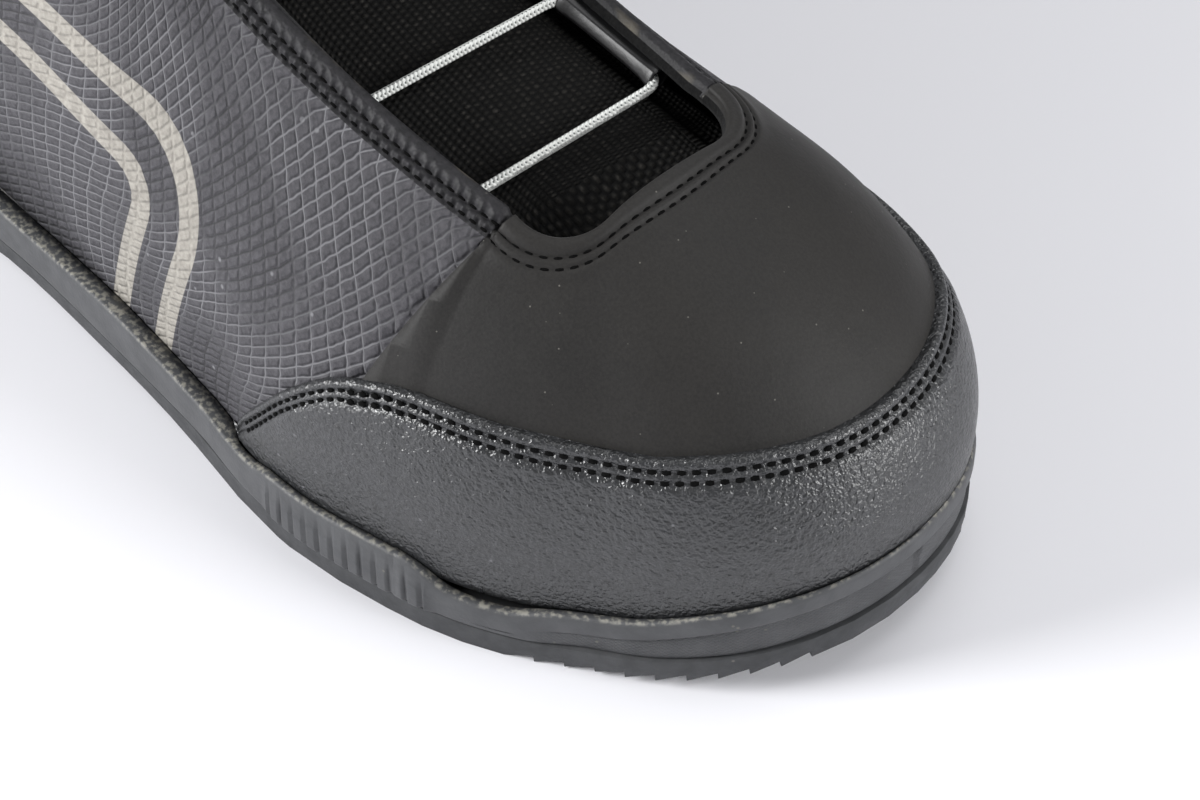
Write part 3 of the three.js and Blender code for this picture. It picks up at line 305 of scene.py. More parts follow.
def up_below(t, top, distance, steps=60):
    """The share of the way up that lies a distance below another share, measured on the surface."""
    t, top = np.broadcast_arrays(np.asarray(t, float), np.asarray(top, float))
    ups = top[:, None] * np.linspace(1, 0, steps + 1)[None, :]
    p = surface(t[:, None], ups)
    steps_long = np.linalg.norm(np.diff(p, axis=1), axis=-1)
    run = np.concatenate([np.zeros((len(p), 1)), np.cumsum(steps_long, 1)], 1)
    distance = np.broadcast_to(distance, len(p))
    return np.array([np.interp(d, r, u) for d, r, u in zip(distance, run, ups)])


def up_at_height(t, height):
    t = np.asarray(t, float)
    return halve(np.zeros_like(t), np.ones_like(t), lambda u: surface(t, u)[..., 2] < height, 26)


print("collar's back", surface(0, 1), "throat's end", surface(1, 1))

# %% [markdown]
# ## Grids, welds and copies
# Nearly every piece of a boot is a sheet that was pulled over the last, so nearly every piece starts
# as a flat grid from bmesh whose vertices are moved to their places. Attributes go along with the
# vertices: the run of the cloth, the distance from an edge. The materials read them, so a pattern
# follows the piece.


# %% Helpers for meshes
def loft(points, layers=None):
    """A grid with one vertex for each point of an array of rows; rows or columns that meet are welded."""
    rows, columns = points.shape[:2]
    bm = bmesh.new()
    bmesh.ops.create_grid(bm, x_segments=columns - 1, y_segments=rows - 1, size=1)
    kept = {}
    for key, values in (layers or {}).items():
        kind = bm.verts.layers.float_vector if np.ndim(values) == 3 else bm.verts.layers.float
        kept[key] = kind.new(key)
    for v in bm.verts:
        i, j = round((v.co.x + 1) / 2 * (columns - 1)), round((v.co.y + 1) / 2 * (rows - 1))
        v.co = points[j, i] * MM
        for key, layer in kept.items():
            v[layer] = layers[key][j, i]
    bmesh.ops.remove_doubles(bm, verts=bm.verts, dist=1e-6)
    bmesh.ops.recalc_face_normals(bm, faces=bm.faces)
    return bm


def close_ends(bm):
    """Fills a loft's open ends and turns its faces outward."""
    bmesh.ops.holes_fill(bm, edges=[e for e in bm.edges if e.is_boundary], sides=0)
    bmesh.ops.recalc_face_normals(bm, faces=bm.faces)
    return bm


def finish_piece(bm, name, materials, stands_for=()):
    """Makes the object of a finished bmesh, with its materials, and lets it ride on the boot."""
    mesh = bpy.data.meshes.new(name)
    bm.to_mesh(mesh)
    bm.free()
    for m in materials:
        mesh.materials.append(m)
    mesh.shade_smooth()
    piece = bpy.data.objects.new(name, mesh)
    bpy.context.scene.collection.objects.link(piece)
    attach(piece, "root")
    if stands_for:
        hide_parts(*stands_for)
    print(name, len(mesh.polygons), "faces")
    return piece


def copy_of(node):
    """The CAD node's mesh as a bmesh, with its loose triangles welded and paired to quads."""
    bm = bmesh.new()
    bm.from_mesh(frame["nodes"][node].data)
    bmesh.ops.remove_doubles(bm, verts=bm.verts, dist=1e-6)
    bmesh.ops.join_triangles(bm, faces=bm.faces, angle_face_threshold=0.7, angle_shape_threshold=0.7)
    return bm


def run_length(points):
    """Distance along a line of points, from its start."""
    return np.concatenate([[0], np.cumsum(np.linalg.norm(np.diff(points, axis=0), axis=1))])


# %% [markdown]
# ## Materials
# Each material is named for what it is and how it was made. Colours are the sRGB values of the eye,
# turned to linear in one place. One function adds a node; a pattern is then a few lines that feed
# each other.


# %% Helpers for materials
def linear(colour):
    parts = [int(colour[i : i + 2], 16) / 255 for i in (1, 3, 5)]
    return (*[p / 12.92 if p <= 0.04045 else ((p + 0.055) / 1.055) ** 2.4 for p in parts], 1.0)


def material(name, **shader):
    """A new material with settings for its shader."""
    print("material:", name)
    m = bpy.data.materials.new(name)
    m.use_nodes = True
    bsdf = m.node_tree.nodes["Principled BSDF"]
    for key, value in shader.items():
        bsdf.inputs[key.replace("_", " ")].default_value = linear(value) if isinstance(value, str) else value
    return m


def add(m, kind, links=None, out=0, **settings):
    """Adds a node and gives back one of its outputs. Links name an input and what goes in: another node's
    output, a number, a vector or an sRGB colour."""
    node = m.node_tree.nodes.new("ShaderNode" + kind)
    for key, value in settings.items():
        setattr(node, key, value)
    for key, value in (links or {}).items():
        if isinstance(value, bpy.types.NodeSocket):
            m.node_tree.links.new(value, node.inputs[key])
        else:
            node.inputs[key].default_value = linear(value) if isinstance(value, str) else value
    return node.outputs[out]


def wire(m, **sockets):
    """Links outputs to the material's shader."""
    for key, socket in sockets.items():
        m.node_tree.links.new(socket, m.node_tree.nodes["Principled BSDF"].inputs[key.replace("_", " ")])


def dusted(m, colour, dust, cell):
    """Lays tiny pale specks over a colour: about one cell in four holds one, an eighth of the cell wide."""
    place = add(m, "TexCoord", out="Object")
    spot = add(m, "TexVoronoi", {"Vector": place, "Scale": 1 / cell})
    near = add(m, "MapRange", {"Value": spot, "From Min": 0.085, "From Max": 0.045})
    some = add(m, "Math", {0: spot.node.outputs["Color"], 1: 0.63}, operation="GREATER_THAN")
    share = add(m, "Math", {0: near, 1: some}, operation="MULTIPLY")
    return add(m, "Mix", {0: share, 6: colour, 7: dust}, out=2, data_type="RGBA")


def mottled(m, dark, light, size, detail=3.0):
    """Two colours in soft patches of a size."""
    place = add(m, "TexCoord", out="Object")
    cloud = add(m, "TexNoise", {"Vector": place, "Scale": 1 / size, "Detail": detail, "Roughness": 0.6})
    share = add(m, "MapRange", {"Value": cloud, "From Min": 0.35, "From Max": 0.65})
    return add(m, "Mix", {0: share, 6: dark, 7: light}, out=2, data_type="RGBA")


def grained(m, size, depth, detail=2.0, under=None):
    """A bump of rounded grains of a size and a depth."""
    place = add(m, "TexCoord", out="Object")
    grain = add(m, "TexNoise", {"Vector": place, "Scale": 1 / size, "Detail": detail, "Roughness": 0.55})
    links = {"Height": grain, "Distance": depth, "Strength": 1.0}
    return add(m, "Bump", links | ({"Normal": under} if under else {}))


# %% [markdown]
# ### Cloths of the upper
# The vamp is microfibre with a thin polyurethane coat: matt, even, and it shows every grain of pale
# dust. The quarters are ripstop nylon. Its thick threads stand in a grid about 4.7 by 2.1 mm and the
# cloth between them is crinkled. The thick threads are painted light in some patches and dark in
# others: a painted highlight where they catch light and painted shade where they sink to dark lines.

# %% Coated microfibre
microfibre = material("coated microfibre", Roughness=0.6, Specular_IOR_Level=0.28, Sheen_Weight=0.05)
colour = mottled(microfibre, "#1c1b1a", "#2b2a28", 0.0006)
wide = mottled(microfibre, "#212020", "#2c2a28", 0.05)
colour = add(microfibre, "Mix", {0: 0.5, 6: colour, 7: wide}, out=2, data_type="RGBA")
colour = dusted(microfibre, colour, "#63615c", 0.0026)
fine_grain = grained(microfibre, 0.0007, 0.00006)
wire(microfibre, Base_Color=colour, Normal=grained(microfibre, 0.012, 0.0003, under=fine_grain))

# %% Ripstop
GRID_ACROSS, GRID_UP = Vector((0.996, -0.087, 0)) / 0.0047, Vector((-0.515, 0.857, 0)) / 0.0021
ripstop = material("ripstop nylon, woven", Roughness=0.62, Specular_IOR_Level=0.35)
cloth_at = add(ripstop, "Attribute", out="Vector", attribute_name="cloth")
wobble = add(ripstop, "TexNoise", {"Vector": cloth_at, "Scale": 1 / 0.004, "Detail": 1.0})
wobble = add(ripstop, "MapRange", {"Value": wobble, "To Min": -0.14, "To Max": 0.14})
from_thread = []
for across_grid in (GRID_ACROSS, GRID_UP):
    place = add(ripstop, "VectorMath", {0: cloth_at, 1: across_grid}, out=1, operation="DOT_PRODUCT")
    place = add(ripstop, "Math", {0: place, 1: wobble}, operation="ADD")
    from_thread.append(add(ripstop, "Math", {0: place, 1: 0.5}, operation="PINGPONG"))
across_mask = add(ripstop, "MapRange", {"Value": from_thread[0], "From Min": 0.05, "From Max": 0.015})
up_mask = add(ripstop, "MapRange", {"Value": from_thread[1], "From Min": 0.11, "From Max": 0.03})
thread_mask = add(ripstop, "Math", {0: across_mask, 1: up_mask}, operation="MAXIMUM")
# Between the threads the cloth puffs up, crinkles, and shows a fine slanting weave.
soft_step = {"interpolation_type": "SMOOTHSTEP"}
puff_across = add(ripstop, "MapRange", {"Value": from_thread[0], "From Max": 0.2}, **soft_step)
puff_up = add(ripstop, "MapRange", {"Value": from_thread[1], "From Max": 0.3}, **soft_step)
puff = add(ripstop, "Math", {0: puff_across, 1: puff_up}, operation="MULTIPLY")
crinkle = add(ripstop, "TexNoise", {"Vector": cloth_at, "Scale": 1 / 0.0013, "Detail": 3.0, "Roughness": 0.6})
slanting = {"wave_type": "BANDS", "bands_direction": "DIAGONAL"}
twill = add(ripstop, "TexWave", {"Vector": cloth_at, "Scale": 20 / 0.011}, **slanting)
height = add(ripstop, "Math", {0: crinkle, 1: 1.1, 2: puff}, operation="MULTIPLY_ADD")
height = add(ripstop, "Math", {0: twill, 1: 0.12, 2: height}, operation="MULTIPLY_ADD")
# The thick threads' colour is painted light in some patches and dark in others: a painted highlight where
# they catch light, painted shade where they sink to dark lines.
patches = add(ripstop, "TexNoise", {"Vector": cloth_at, "Scale": 1 / 0.045, "Detail": 1.0})
patches = add(ripstop, "MapRange", {"Value": patches, "From Min": 0.42, "From Max": 0.56})
thread_glint_and_shade = add(ripstop, "Mix", {0: patches, 6: "#29292b", 7: "#707073"}, out=2, data_type="RGBA")
base = mottled(ripstop, "#39383c", "#4a494d", 0.0012)
colour = add(ripstop, "Mix", {0: thread_mask, 6: base, 7: thread_glint_and_shade}, out=2, data_type="RGBA")
colour = dusted(ripstop, colour, "#77777a", 0.008)
# The printed bands are a thin grey ink that lies on the threads and hides their colour.
BAND_WIDTH, BAND_SPACE, BAND_BLUR = 6.2, 16.0, 0.1
corner = add(ripstop, "Attribute", out="Fac", attribute_name="from_corner")
inner = add(ripstop, "Math", {0: corner, 1: BAND_SPACE}, operation="ADD")
inner = add(ripstop, "Math", {0: inner}, operation="ABSOLUTE")
outer = add(ripstop, "Math", {0: corner}, operation="ABSOLUTE")
from_band = add(ripstop, "Math", {0: outer, 1: inner}, operation="MINIMUM")
blur = {"From Min": BAND_WIDTH / 2 + BAND_BLUR, "From Max": BAND_WIDTH / 2 - BAND_BLUR}
inked = add(ripstop, "MapRange", {"Value": from_band} | blur)
ink = mottled(ripstop, "#8b8780", "#a09c94", 0.0016)
colour = add(ripstop, "Mix", {0: inked, 6: colour, 7: ink}, out=2, data_type="RGBA")
relief = add(ripstop, "Bump", {"Height": height, "Distance": 0.00034, "Strength": 0.9})
wire(ripstop, Base_Color=colour, Normal=relief)

# %% Folded edge and lining
folded_edge = material("ripstop folded over foam", Roughness=0.6, Specular_IOR_Level=0.35)
run = add(folded_edge, "Attribute", out="Vector", attribute_name="edge_run")
parts = add(folded_edge, "SeparateXYZ", {0: run})
STITCH, ROWS_MIDDLE = 2.8, 5.0  # length of a stitch, and the middle of the two rows below the edge, in mm
# Each stitch pulls the edge in, so it puckers at the stitches' pitch and most beside the rows.
phase = add(folded_edge, "Math", {0: parts, 1: 2 * math.pi / STITCH}, operation="MULTIPLY")
pull = add(folded_edge, "Math", {0: phase}, operation="SINE")
near_row = add(folded_edge, "Math", {0: parts.node.outputs[1], 1: ROWS_MIDDLE}, operation="SUBTRACT")
near_row = add(folded_edge, "Math", {0: near_row}, operation="ABSOLUTE")
near_row = add(folded_edge, "MapRange", {"Value": near_row, "From Min": 3.2, "From Max": 0.6})
pucker = add(folded_edge, "Math", {0: pull, 1: near_row}, operation="MULTIPLY")
crinkled = grained(folded_edge, 0.0013, 0.00035, 3.0)
relief = {"Height": pucker, "Distance": 0.00055, "Strength": 0.9, "Normal": crinkled}
relief = add(folded_edge, "Bump", relief)
# The very edge is rubbed pale in places.
worn = add(folded_edge, "MapRange", {"Value": parts.node.outputs[1], "From Min": 0.5, "From Max": -0.2})
place = add(folded_edge, "TexCoord", out="Object")
patch = add(folded_edge, "TexNoise", {"Vector": place, "Scale": 1 / 0.011})
patch = add(folded_edge, "MapRange", {"Value": patch, "From Min": 0.55, "From Max": 0.68})
worn = add(folded_edge, "Math", {0: worn, 1: patch}, operation="MULTIPLY")
colour = dusted(folded_edge, mottled(folded_edge, "#1b1b1d", "#29282b", 0.0012), "#77756f", 0.007)
colour = add(folded_edge, "Mix", {0: worn, 6: colour, 7: "#5f594d"}, out=2, data_type="RGBA")
wire(folded_edge, Base_Color=colour, Normal=relief)

lining = material("brushed knit lining", Roughness=0.95, Specular_IOR_Level=0.15, Sheen_Weight=0.1)
colour = mottled(lining, "#101011", "#191919", 0.0012)
wire(lining, Base_Color=colour, Normal=grained(lining, 0.001, 0.0003))

# %% [markdown]
# ### Plastics, foam and rubber
# The rand is thermoplastic polyurethane, moulded in a tool with a pebbled face, so it glints in a
# thousand small points. The cup is EVA foam with a closed matt skin. The rubber below it is duller
# and holds dust.

# %% Moulded materials
rand_plastic = material("pebbled moulded TPU", Specular_IOR_Level=0.8)
# The real pebbles are 0.6 to 1 mm across.
pebble = grained(rand_plastic, 0.00095, 0.0006, 1.5)
place = add(rand_plastic, "TexCoord", out="Object")
shine = add(rand_plastic, "TexNoise", {"Vector": place, "Scale": 1 / 0.002})
shine_range = {"From Min": 0.3, "From Max": 0.7, "To Min": 0.27, "To Max": 0.4}
shine = add(rand_plastic, "MapRange", {"Value": shine} | shine_range)
colour = dusted(rand_plastic, mottled(rand_plastic, "#222324", "#2e2f31", 0.0015), "#5d5d60", 0.005)
wire(rand_plastic, Base_Color=colour, Roughness=shine, Normal=pebble)

foam = material("moulded EVA foam", Roughness=0.55, Specular_IOR_Level=0.4)
place = add(foam, "Attribute", out="Vector", attribute_name="wall_run")
on_panel = add(foam, "Attribute", out="Fac", attribute_name="panel")
# Two sets of fine lines cross on the panel round the toe.
lines = []
for slope in (1.0, -1.0):
    lean = {0: place, 1: (1 / 0.0014, slope / 0.0009, 0)}
    lean = add(foam, "VectorMath", lean, out=1, operation="DOT_PRODUCT")
    lines.append(add(foam, "Math", {0: lean, 1: 0.5}, operation="PINGPONG"))
hatch = add(foam, "Math", {0: lines[0], 1: lines[1]}, operation="MINIMUM")
hatch = add(foam, "MapRange", {"Value": hatch, "From Max": 0.16})
hatch = add(foam, "Math", {0: hatch, 1: on_panel}, operation="MULTIPLY")
skin = grained(foam, 0.0009, 0.00008)
relief = add(foam, "Bump", {"Height": hatch, "Distance": 0.0002, "Strength": 0.7, "Normal": skin})
# The top edge is rubbed pale in small spots.
top = add(foam, "Attribute", out="Fac", attribute_name="edge_mm")
rubbed = add(foam, "MapRange", {"Value": top, "From Min": 0.6, "From Max": 0.05})
place = add(foam, "TexCoord", out="Object")
patch = add(foam, "TexNoise", {"Vector": place, "Scale": 1 / 0.0012, "Detail": 6.0})
patch = add(foam, "MapRange", {"Value": patch, "From Min": 0.46, "From Max": 0.62})
rubbed = add(foam, "Math", {0: rubbed, 1: patch}, operation="MULTIPLY")
colour = dusted(foam, mottled(foam, "#444547", "#4e4f51", 0.006), "#66655f", 0.005)
colour = add(foam, "Mix", {0: rubbed, 6: colour, 7: "#8a8880"}, out=2, data_type="RGBA")
wire(foam, Base_Color=colour, Normal=relief)

rubber = material("moulded rubber", Roughness=0.7, Specular_IOR_Level=0.35)
colour = dusted(rubber, mottled(rubber, "#3b3c3e", "#454648", 0.004), "#66645f", 0.005)
wire(rubber, Base_Color=colour, Normal=grained(rubber, 0.0008, 0.0001))

guide_nylon = material("moulded nylon guide", Roughness=0.4, Specular_IOR_Level=0.5)
colour = mottled(guide_nylon, "#1c1c1d", "#272728", 0.003)
wire(guide_nylon, Base_Color=colour, Normal=grained(guide_nylon, 0.001, 0.00004))

# %% [markdown]
# ### Knit, braid, thread and felt
# The tongue is a spacer knit with raised columns of loops. The lace is a round braid: strands wind
# both ways and pass over each other, and dark marker yarns show in the gaps. The sewing thread is
# dark and sits in holes that are darker still; its near-black colour is partly the thread's own and
# partly painted shade of those holes.

# %% Yarns
knit = material("spacer knit", Roughness=0.9, Specular_IOR_Level=0.2)
place = add(knit, "Attribute", out="Vector", attribute_name="knit_run")
parts = add(knit, "SeparateXYZ", {0: place})
# Loops are drawn this wide and this long in mm, each column half a loop off its neighbour.
LOOP_WIDTH, LOOP_LENGTH = 1.9, 1.3
column = add(knit, "Math", {0: parts, 1: 1 / LOOP_WIDTH}, operation="MULTIPLY")
odd = add(knit, "Math", {0: column}, operation="FLOOR")
shift = add(knit, "Math", {0: odd, 1: 0.5}, operation="MULTIPLY")
row = add(knit, "Math", {0: parts.node.outputs[1], 1: 1 / LOOP_LENGTH, 2: shift}, operation="MULTIPLY_ADD")
side_way = add(knit, "Math", {0: column, 1: 0.5}, operation="PINGPONG")
long_way = add(knit, "Math", {0: row, 1: 0.5}, operation="PINGPONG")
loops = add(knit, "Math", {0: side_way, 1: long_way}, operation="MULTIPLY")
fuzz = grained(knit, 0.0005, 0.0002)
relief = add(knit, "Bump", {"Height": loops, "Distance": 0.0035, "Strength": 0.9, "Normal": fuzz})
fleck = add(knit, "TexNoise", {"Vector": place, "Scale": 0.55, "Detail": 2.0})
fleck = add(knit, "MapRange", {"Value": fleck, "From Min": 0.5, "From Max": 0.7})
# The crowns of the loops are painted lighter and the hollows between them near black: painted light and
# painted shade on the knit. The flecks are kept to the lit crowns.
lit_crown = add(knit, "MapRange", {"Value": loops, "From Min": 0.03, "From Max": 0.16})
fleck = add(knit, "Math", {0: fleck, 1: lit_crown}, operation="MULTIPLY")
yarn_lit_and_shaded = add(knit, "Mix", {0: lit_crown, 6: "#080808", 7: "#1f1e1c"}, out=2, data_type="RGBA")
colour = add(knit, "Mix", {0: fleck, 6: yarn_lit_and_shaded, 7: "#383633"}, out=2, data_type="RGBA")
wire(knit, Base_Color=colour, Normal=relief)

braid = material("braided polyester lace", Roughness=0.6, Specular_IOR_Level=0.4)
parts = add(braid, "SeparateXYZ", {0: add(braid, "Attribute", out="Vector", attribute_name="braid")})
# Seen from any side, plump strands lie in columns of slanting lozenges that lean to and fro.
COLUMNS_ROUND, STRAND_LENGTH = 3.0, 1.05
column = add(braid, "Math", {0: parts, 1: COLUMNS_ROUND}, operation="MULTIPLY")
column = add(braid, "Math", {0: column, 1: 0.5}, operation="PINGPONG")
strand = add(braid, "Math", {0: column, 1: 1.3}, operation="MULTIPLY")
length = parts.node.outputs[1]
strand = add(braid, "Math", {0: length, 1: 1 / STRAND_LENGTH, 2: strand}, operation="MULTIPLY_ADD")
strand = add(braid, "Math", {0: strand, 1: 0.5}, operation="PINGPONG")
edge = add(braid, "Math", {0: column, 1: 0.25}, operation="SUBTRACT")
edge = add(braid, "Math", {0: edge}, operation="ABSOLUTE")
marked = add(braid, "MapRange", {"Value": edge, "From Min": 0.1, "From Max": 0.22})
over = add(braid, "Math", {0: strand, 1: marked, 2: strand}, operation="MULTIPLY_ADD")
gap = add(braid, "MapRange", {"Value": strand, "From Min": 0.2, "From Max": 0.1})
gap = add(braid, "Math", {0: gap, 1: marked}, operation="MULTIPLY")
colour = add(braid, "Mix", {0: gap, 6: "#f3f5f1", 7: "#12292b"}, out=2, data_type="RGBA")
fuzz = grained(braid, 0.0003, 0.00004)
relief = add(braid, "Bump", {"Height": over, "Distance": 0.0007, "Strength": 0.8, "Normal": fuzz})
wire(braid, Base_Color=colour, Normal=relief)

thread = material("bonded nylon thread", Roughness=0.85, Specular_IOR_Level=0.1)
# Near black: partly the thread's own dark colour, partly painted shade of the holes it sits in.
colour = mottled(thread, "#020202", "#0a0a0a", 0.0008)
wire(thread, Base_Color=colour, Normal=grained(thread, 0.0003, 0.00005))

felt = material("pressed felt insole", Roughness=0.98, Specular_IOR_Level=0.1)
colour = mottled(felt, "#151517", "#232325", 0.0016)
wire(felt, Base_Color=colour, Normal=grained(felt, 0.0006, 0.0003, 4.0))
print(len(bpy.data.materials), "materials")

# %% [markdown]
# ## The upper
# The shell of the boot: cloth quarters at the sides, a smooth coated vamp over the toes, and a folded
# edge with two rows of stitches round throat and collar. It is one grid, outside, over the edge and
# down the inside, so the wall has its real thickness. Three planes then cut the slanting line where the
# vamp's edge lies on the quarter.


# %% Helpers for the upper
def wall_at(t, up):
    """Thickness of the wall: thin at the foot and along the edge, padded at the shaft."""
    station = np.abs(t)
    shaft = smooth(0.25, 0.55, up) * smooth(THROAT_START, COLLAR_END, station)
    near = smooth(0.58, 0.8, up) * smooth(COLLAR_END * 0.7, COLLAR_END, station)
    return mix(WALL, SHAFT_WALL, shaft * (1 - near))


def cloth_run(grid, middle):
    """Place on the flat cloth in mm: along the rows from the heel, and up the columns from the sole."""
    along_rows = np.linalg.norm(np.diff(grid[..., :2], axis=1, prepend=grid[:, :1, :2]), axis=-1).cumsum(1)
    up_columns = np.linalg.norm(np.diff(grid, axis=0, prepend=grid[:1]), axis=-1).cumsum(0)
    return np.stack([np.abs(along_rows - along_rows[:, middle : middle + 1]), up_columns, 0 * up_columns], -1)


def from_corner(p):
    """Distance out of a large shape with one round corner in the side view. The bands follow its edge."""
    ahead = p[..., 0] - SEAM_LEAN * p[..., 2] - BAND_FRONT + BAND_RADIUS
    up = p[..., 2] + BAND_FALL * (p[..., 0] - BAND_FRONT) - BAND_TOP + BAND_RADIUS
    inside = np.minimum(np.maximum(ahead, up), 0)
    return np.hypot(np.maximum(ahead, 0), np.maximum(up, 0)) + inside - BAND_RADIUS


def seam_lift(p):
    """How far the surface is raised beside the seam: a dark groove, then the vamp's edge, which fades out."""
    past = (p[..., 0] - SEAM_LEAN * p[..., 2] - SEAM_AT) / math.hypot(1, SEAM_LEAN)
    edge = SEAM_RISE * smooth(SEAM_FADE, 0, past)
    half_groove = SEAM_WIDTH / 4
    return np.where(past > half_groove, edge, np.where(past > -half_groove, -SEAM_GROOVE, 0))


# %% Rows of the upper
# The seam leans forward; a groove is cut beside it and the vamp's edge stands up past it.
SEAM_LEAN, SEAM_AT, SEAM_RISE, SEAM_FADE, SEAM_GROOVE, SEAM_WIDTH = 0.386, 160.3, 0.6, 14.0, 0.4, 0.8
# The round corner of the shape that the bands follow: its front, its top, its radius and the top's slope.
BAND_FRONT, BAND_TOP, BAND_RADIUS, BAND_FALL = 108.0, 78.0, 27.0, 0.16
# Rows of the grid near the edge, by their distance below it.
EDGE_ROWS = (9.6, 8.6, 7.8, 7.2, 6.8, 6.4, 6.0, 5.6, 5.2, 4.8, 4.4, 4.0, 3.6, 3.2, 2.4, 1.6, 0.9, 0.4, 0.12)
# Two soft ridges lie beside the two rows of stitches, which pull the edge in.
edge_profile = curve(
    (0.12, 0.4, 0.9, 1.6, 2.4, 3.0, 3.4, 4.0, 4.6, 5.1, 5.6, 6.2, 6.8, 7.4, 8.2, 9.6),
    (0.45, 0.9, 1.15, 1.3, 1.3, 1.1, 0.65, 0.1, 0.55, 0.8, 0.55, 0.0, 0.4, 0.45, 0.25, 0),
)
EDGE_STITCHES = (4.0, 6.2)
# The back seam's strip ends at this place round the boot, and stands out a little.
FOLD_WIDTH, BACKSTAY, BACKSTAY_FADE, BACKSTAY_STEP = 7.5, 0.04, 0.008, 0.5
UPPER_T = np.concatenate([
    np.linspace(-1, -THROAT_START, 60)[:-1], np.linspace(-THROAT_START, -COLLAR_END, 84)[:-1],
    np.linspace(-COLLAR_END, COLLAR_END, 85)[:-1], np.linspace(COLLAR_END, THROAT_START, 84)[:-1],
    np.linspace(THROAT_START, 1, 60),
])
# Each row: its height as a share, how far out it lies (None on the wall's inner face), and its distance
# below the edge, which is negative inside.
START = up_below(UPPER_T, 1.0, EDGE_ROWS[0])
outer_rows = [(START * share, 0.0, EDGE_ROWS[0] + (1 - share) * 100) for share in np.linspace(0, 1, 50)[:-1]]
outer_rows += [(up_below(UPPER_T, 1.0, d), float(edge_profile(d)), d) for d in EDGE_ROWS]
EDGE_TURN = ((0.1, 0.0), (-0.9, -0.4), (-2.0, -0.6), (-2.8, -0.9))
turn_rows = [(1.0 + 0 * START, out, d) for out, d in EDGE_TURN]
inner_rows = [(up_below(UPPER_T, 1.0, d), None, -d) for d in (1.5, 4.0, 8.0)]
inner_rows += [(START * share, None, -20.0) for share in np.linspace(0, 1, 36)[::-1][1:]]
rows = outer_rows + turn_rows + inner_rows + outer_rows[:1]
ups = np.array([up for up, _, _ in rows])
T = np.broadcast_to(UPPER_T, ups.shape)
out = np.array([-wall_at(UPPER_T, up) if out is None else out + 0 * UPPER_T for up, out, _ in rows])
edge_mm = np.array([d + 0 * UPPER_T for _, _, d in rows])
stay = np.clip(edge_mm, 0, 1) * BACKSTAY_STEP * smooth(BACKSTAY + BACKSTAY_FADE, BACKSTAY, np.abs(T))
flat = surface(T, ups)
cloth = cloth_run(flat, int(np.argmin(np.abs(UPPER_T))))
cloth[-1] = cloth[0]  # the last row is welded to the first
edge_run = run_length(surface(UPPER_T, 1.0))
edge_run = np.stack([np.broadcast_to(edge_run, ups.shape), edge_mm, np.abs(T)], -1)
print("upper", ups.shape[0], "rows of", ups.shape[1], "places")

# %% Upper
bm = loft(
    flat + normal(T, ups) * (out + stay)[..., None],
    {"cloth": cloth * MM, "edge_run": edge_run, "from_corner": from_corner(flat)},
)
seam_way = Vector((1, 0, -SEAM_LEAN)).normalized()
for shift in (-SEAM_WIDTH / 2, 0.0, SEAM_WIDTH / 2):
    at = Vector((SEAM_AT * MM, 0, 0)) + seam_way * shift * MM
    geometry = [*bm.verts, *bm.edges, *bm.faces]
    bmesh.ops.bisect_plane(bm, geom=geometry, plane_co=at, plane_no=seam_way, dist=1e-6)
bm.normal_update()
run_layer = bm.verts.layers.float_vector["edge_run"]
for v in bm.verts:
    if v[run_layer].y > 0:
        v.co += v.normal * float(seam_lift(np.array(v.co) / MM)) * MM
UPPER_MATERIALS = [ripstop, microfibre, folded_edge, lining]
for f in bm.faces:
    distance = sum(v[run_layer].y for v in f.verts) / len(f.verts)
    station = sum(v[run_layer].z for v in f.verts) / len(f.verts)
    if distance < -0.5:
        f.material_index = UPPER_MATERIALS.index(lining)
    elif seam_way.dot(f.calc_center_median()) > SEAM_AT * MM * seam_way.x:
        f.material_index = UPPER_MATERIALS.index(microfibre)
    elif distance < FOLD_WIDTH or station < BACKSTAY:
        f.material_index = UPPER_MATERIALS.index(folded_edge)
finish_piece(bm, "upper_shell", UPPER_MATERIALS, ["upper"])

# %% [markdown]
# ## The rand
# A bumper of pebbled plastic wraps the toe and is sewn to the upper by two rows of stitches under its
# rolled top edge. Its ends thin out and slip under the cup's edge, as they do where the last is
# pulled.


# %% Rand
# Where it starts on the outer side and on the inner side, as a share of the sole's length.
RAND_START = {-1: 0.592, 1: 0.612}
RAND_STITCHES = (2.6, 4.75)


def first_place(side):
    """Place round the boot at which the rand starts on one side."""

    def before(station):
        return along(surface(station * side, 0)[..., 0]) < RAND_START[side]

    return float(halve(np.array([COLLAR_END]), np.array([0.95]), before)[0])


def rand_share(t):
    """0 where the rand has not begun, 1 where it has its full thickness."""
    start = np.where(((t + 1) % 2) - 1 < 0, RAND_START[-1], RAND_START[1])
    return smooth(-0.004, 0.02, along(surface(t, 0)[..., 0]) - start)


def rand_top(t):
    """How far up the rand's top edge lies; both sides run through the same curve."""
    start = np.where(((t + 1) % 2) - 1 < 0, RAND_START[-1], RAND_START[1])
    a = mix(RAND_START[-1], 1, (along(surface(t, 0)[..., 0]) - start) / (1 - start))
    return up_at_height(t, rand_edge(a))


RAND_T = np.linspace(-first_place(-1), -2 + first_place(1), 230)
RAND_TOP = rand_top(RAND_T)
ladder = surface(RAND_T[:, None], RAND_TOP[:, None] * np.linspace(0, 1, 30))
RAND_LENGTH = np.linalg.norm(np.diff(ladder, axis=1), axis=-1).sum(1)
RAND_ROWS = (0, 0.15, 0.5, 0.9, 1.3, 1.7, 2.0, 2.3, 2.6, 2.9, 3.2,
             3.6, 4.0, 4.3, 4.6, 4.9, 5.2, 5.6, 6.2, 7.0, 8.4)
# A rolled lip, then a channel for each row of stitches with a low ridge between them.
rand_profile = curve(RAND_ROWS, (
    0.35, 1.0, 1.6, 1.85, 1.9, 1.8, 1.6, 1.35, 1.25, 1.35, 1.6,
    1.75, 1.65, 1.45, 1.3, 1.3, 1.5, 1.8, 2, 2.05, 2,
))
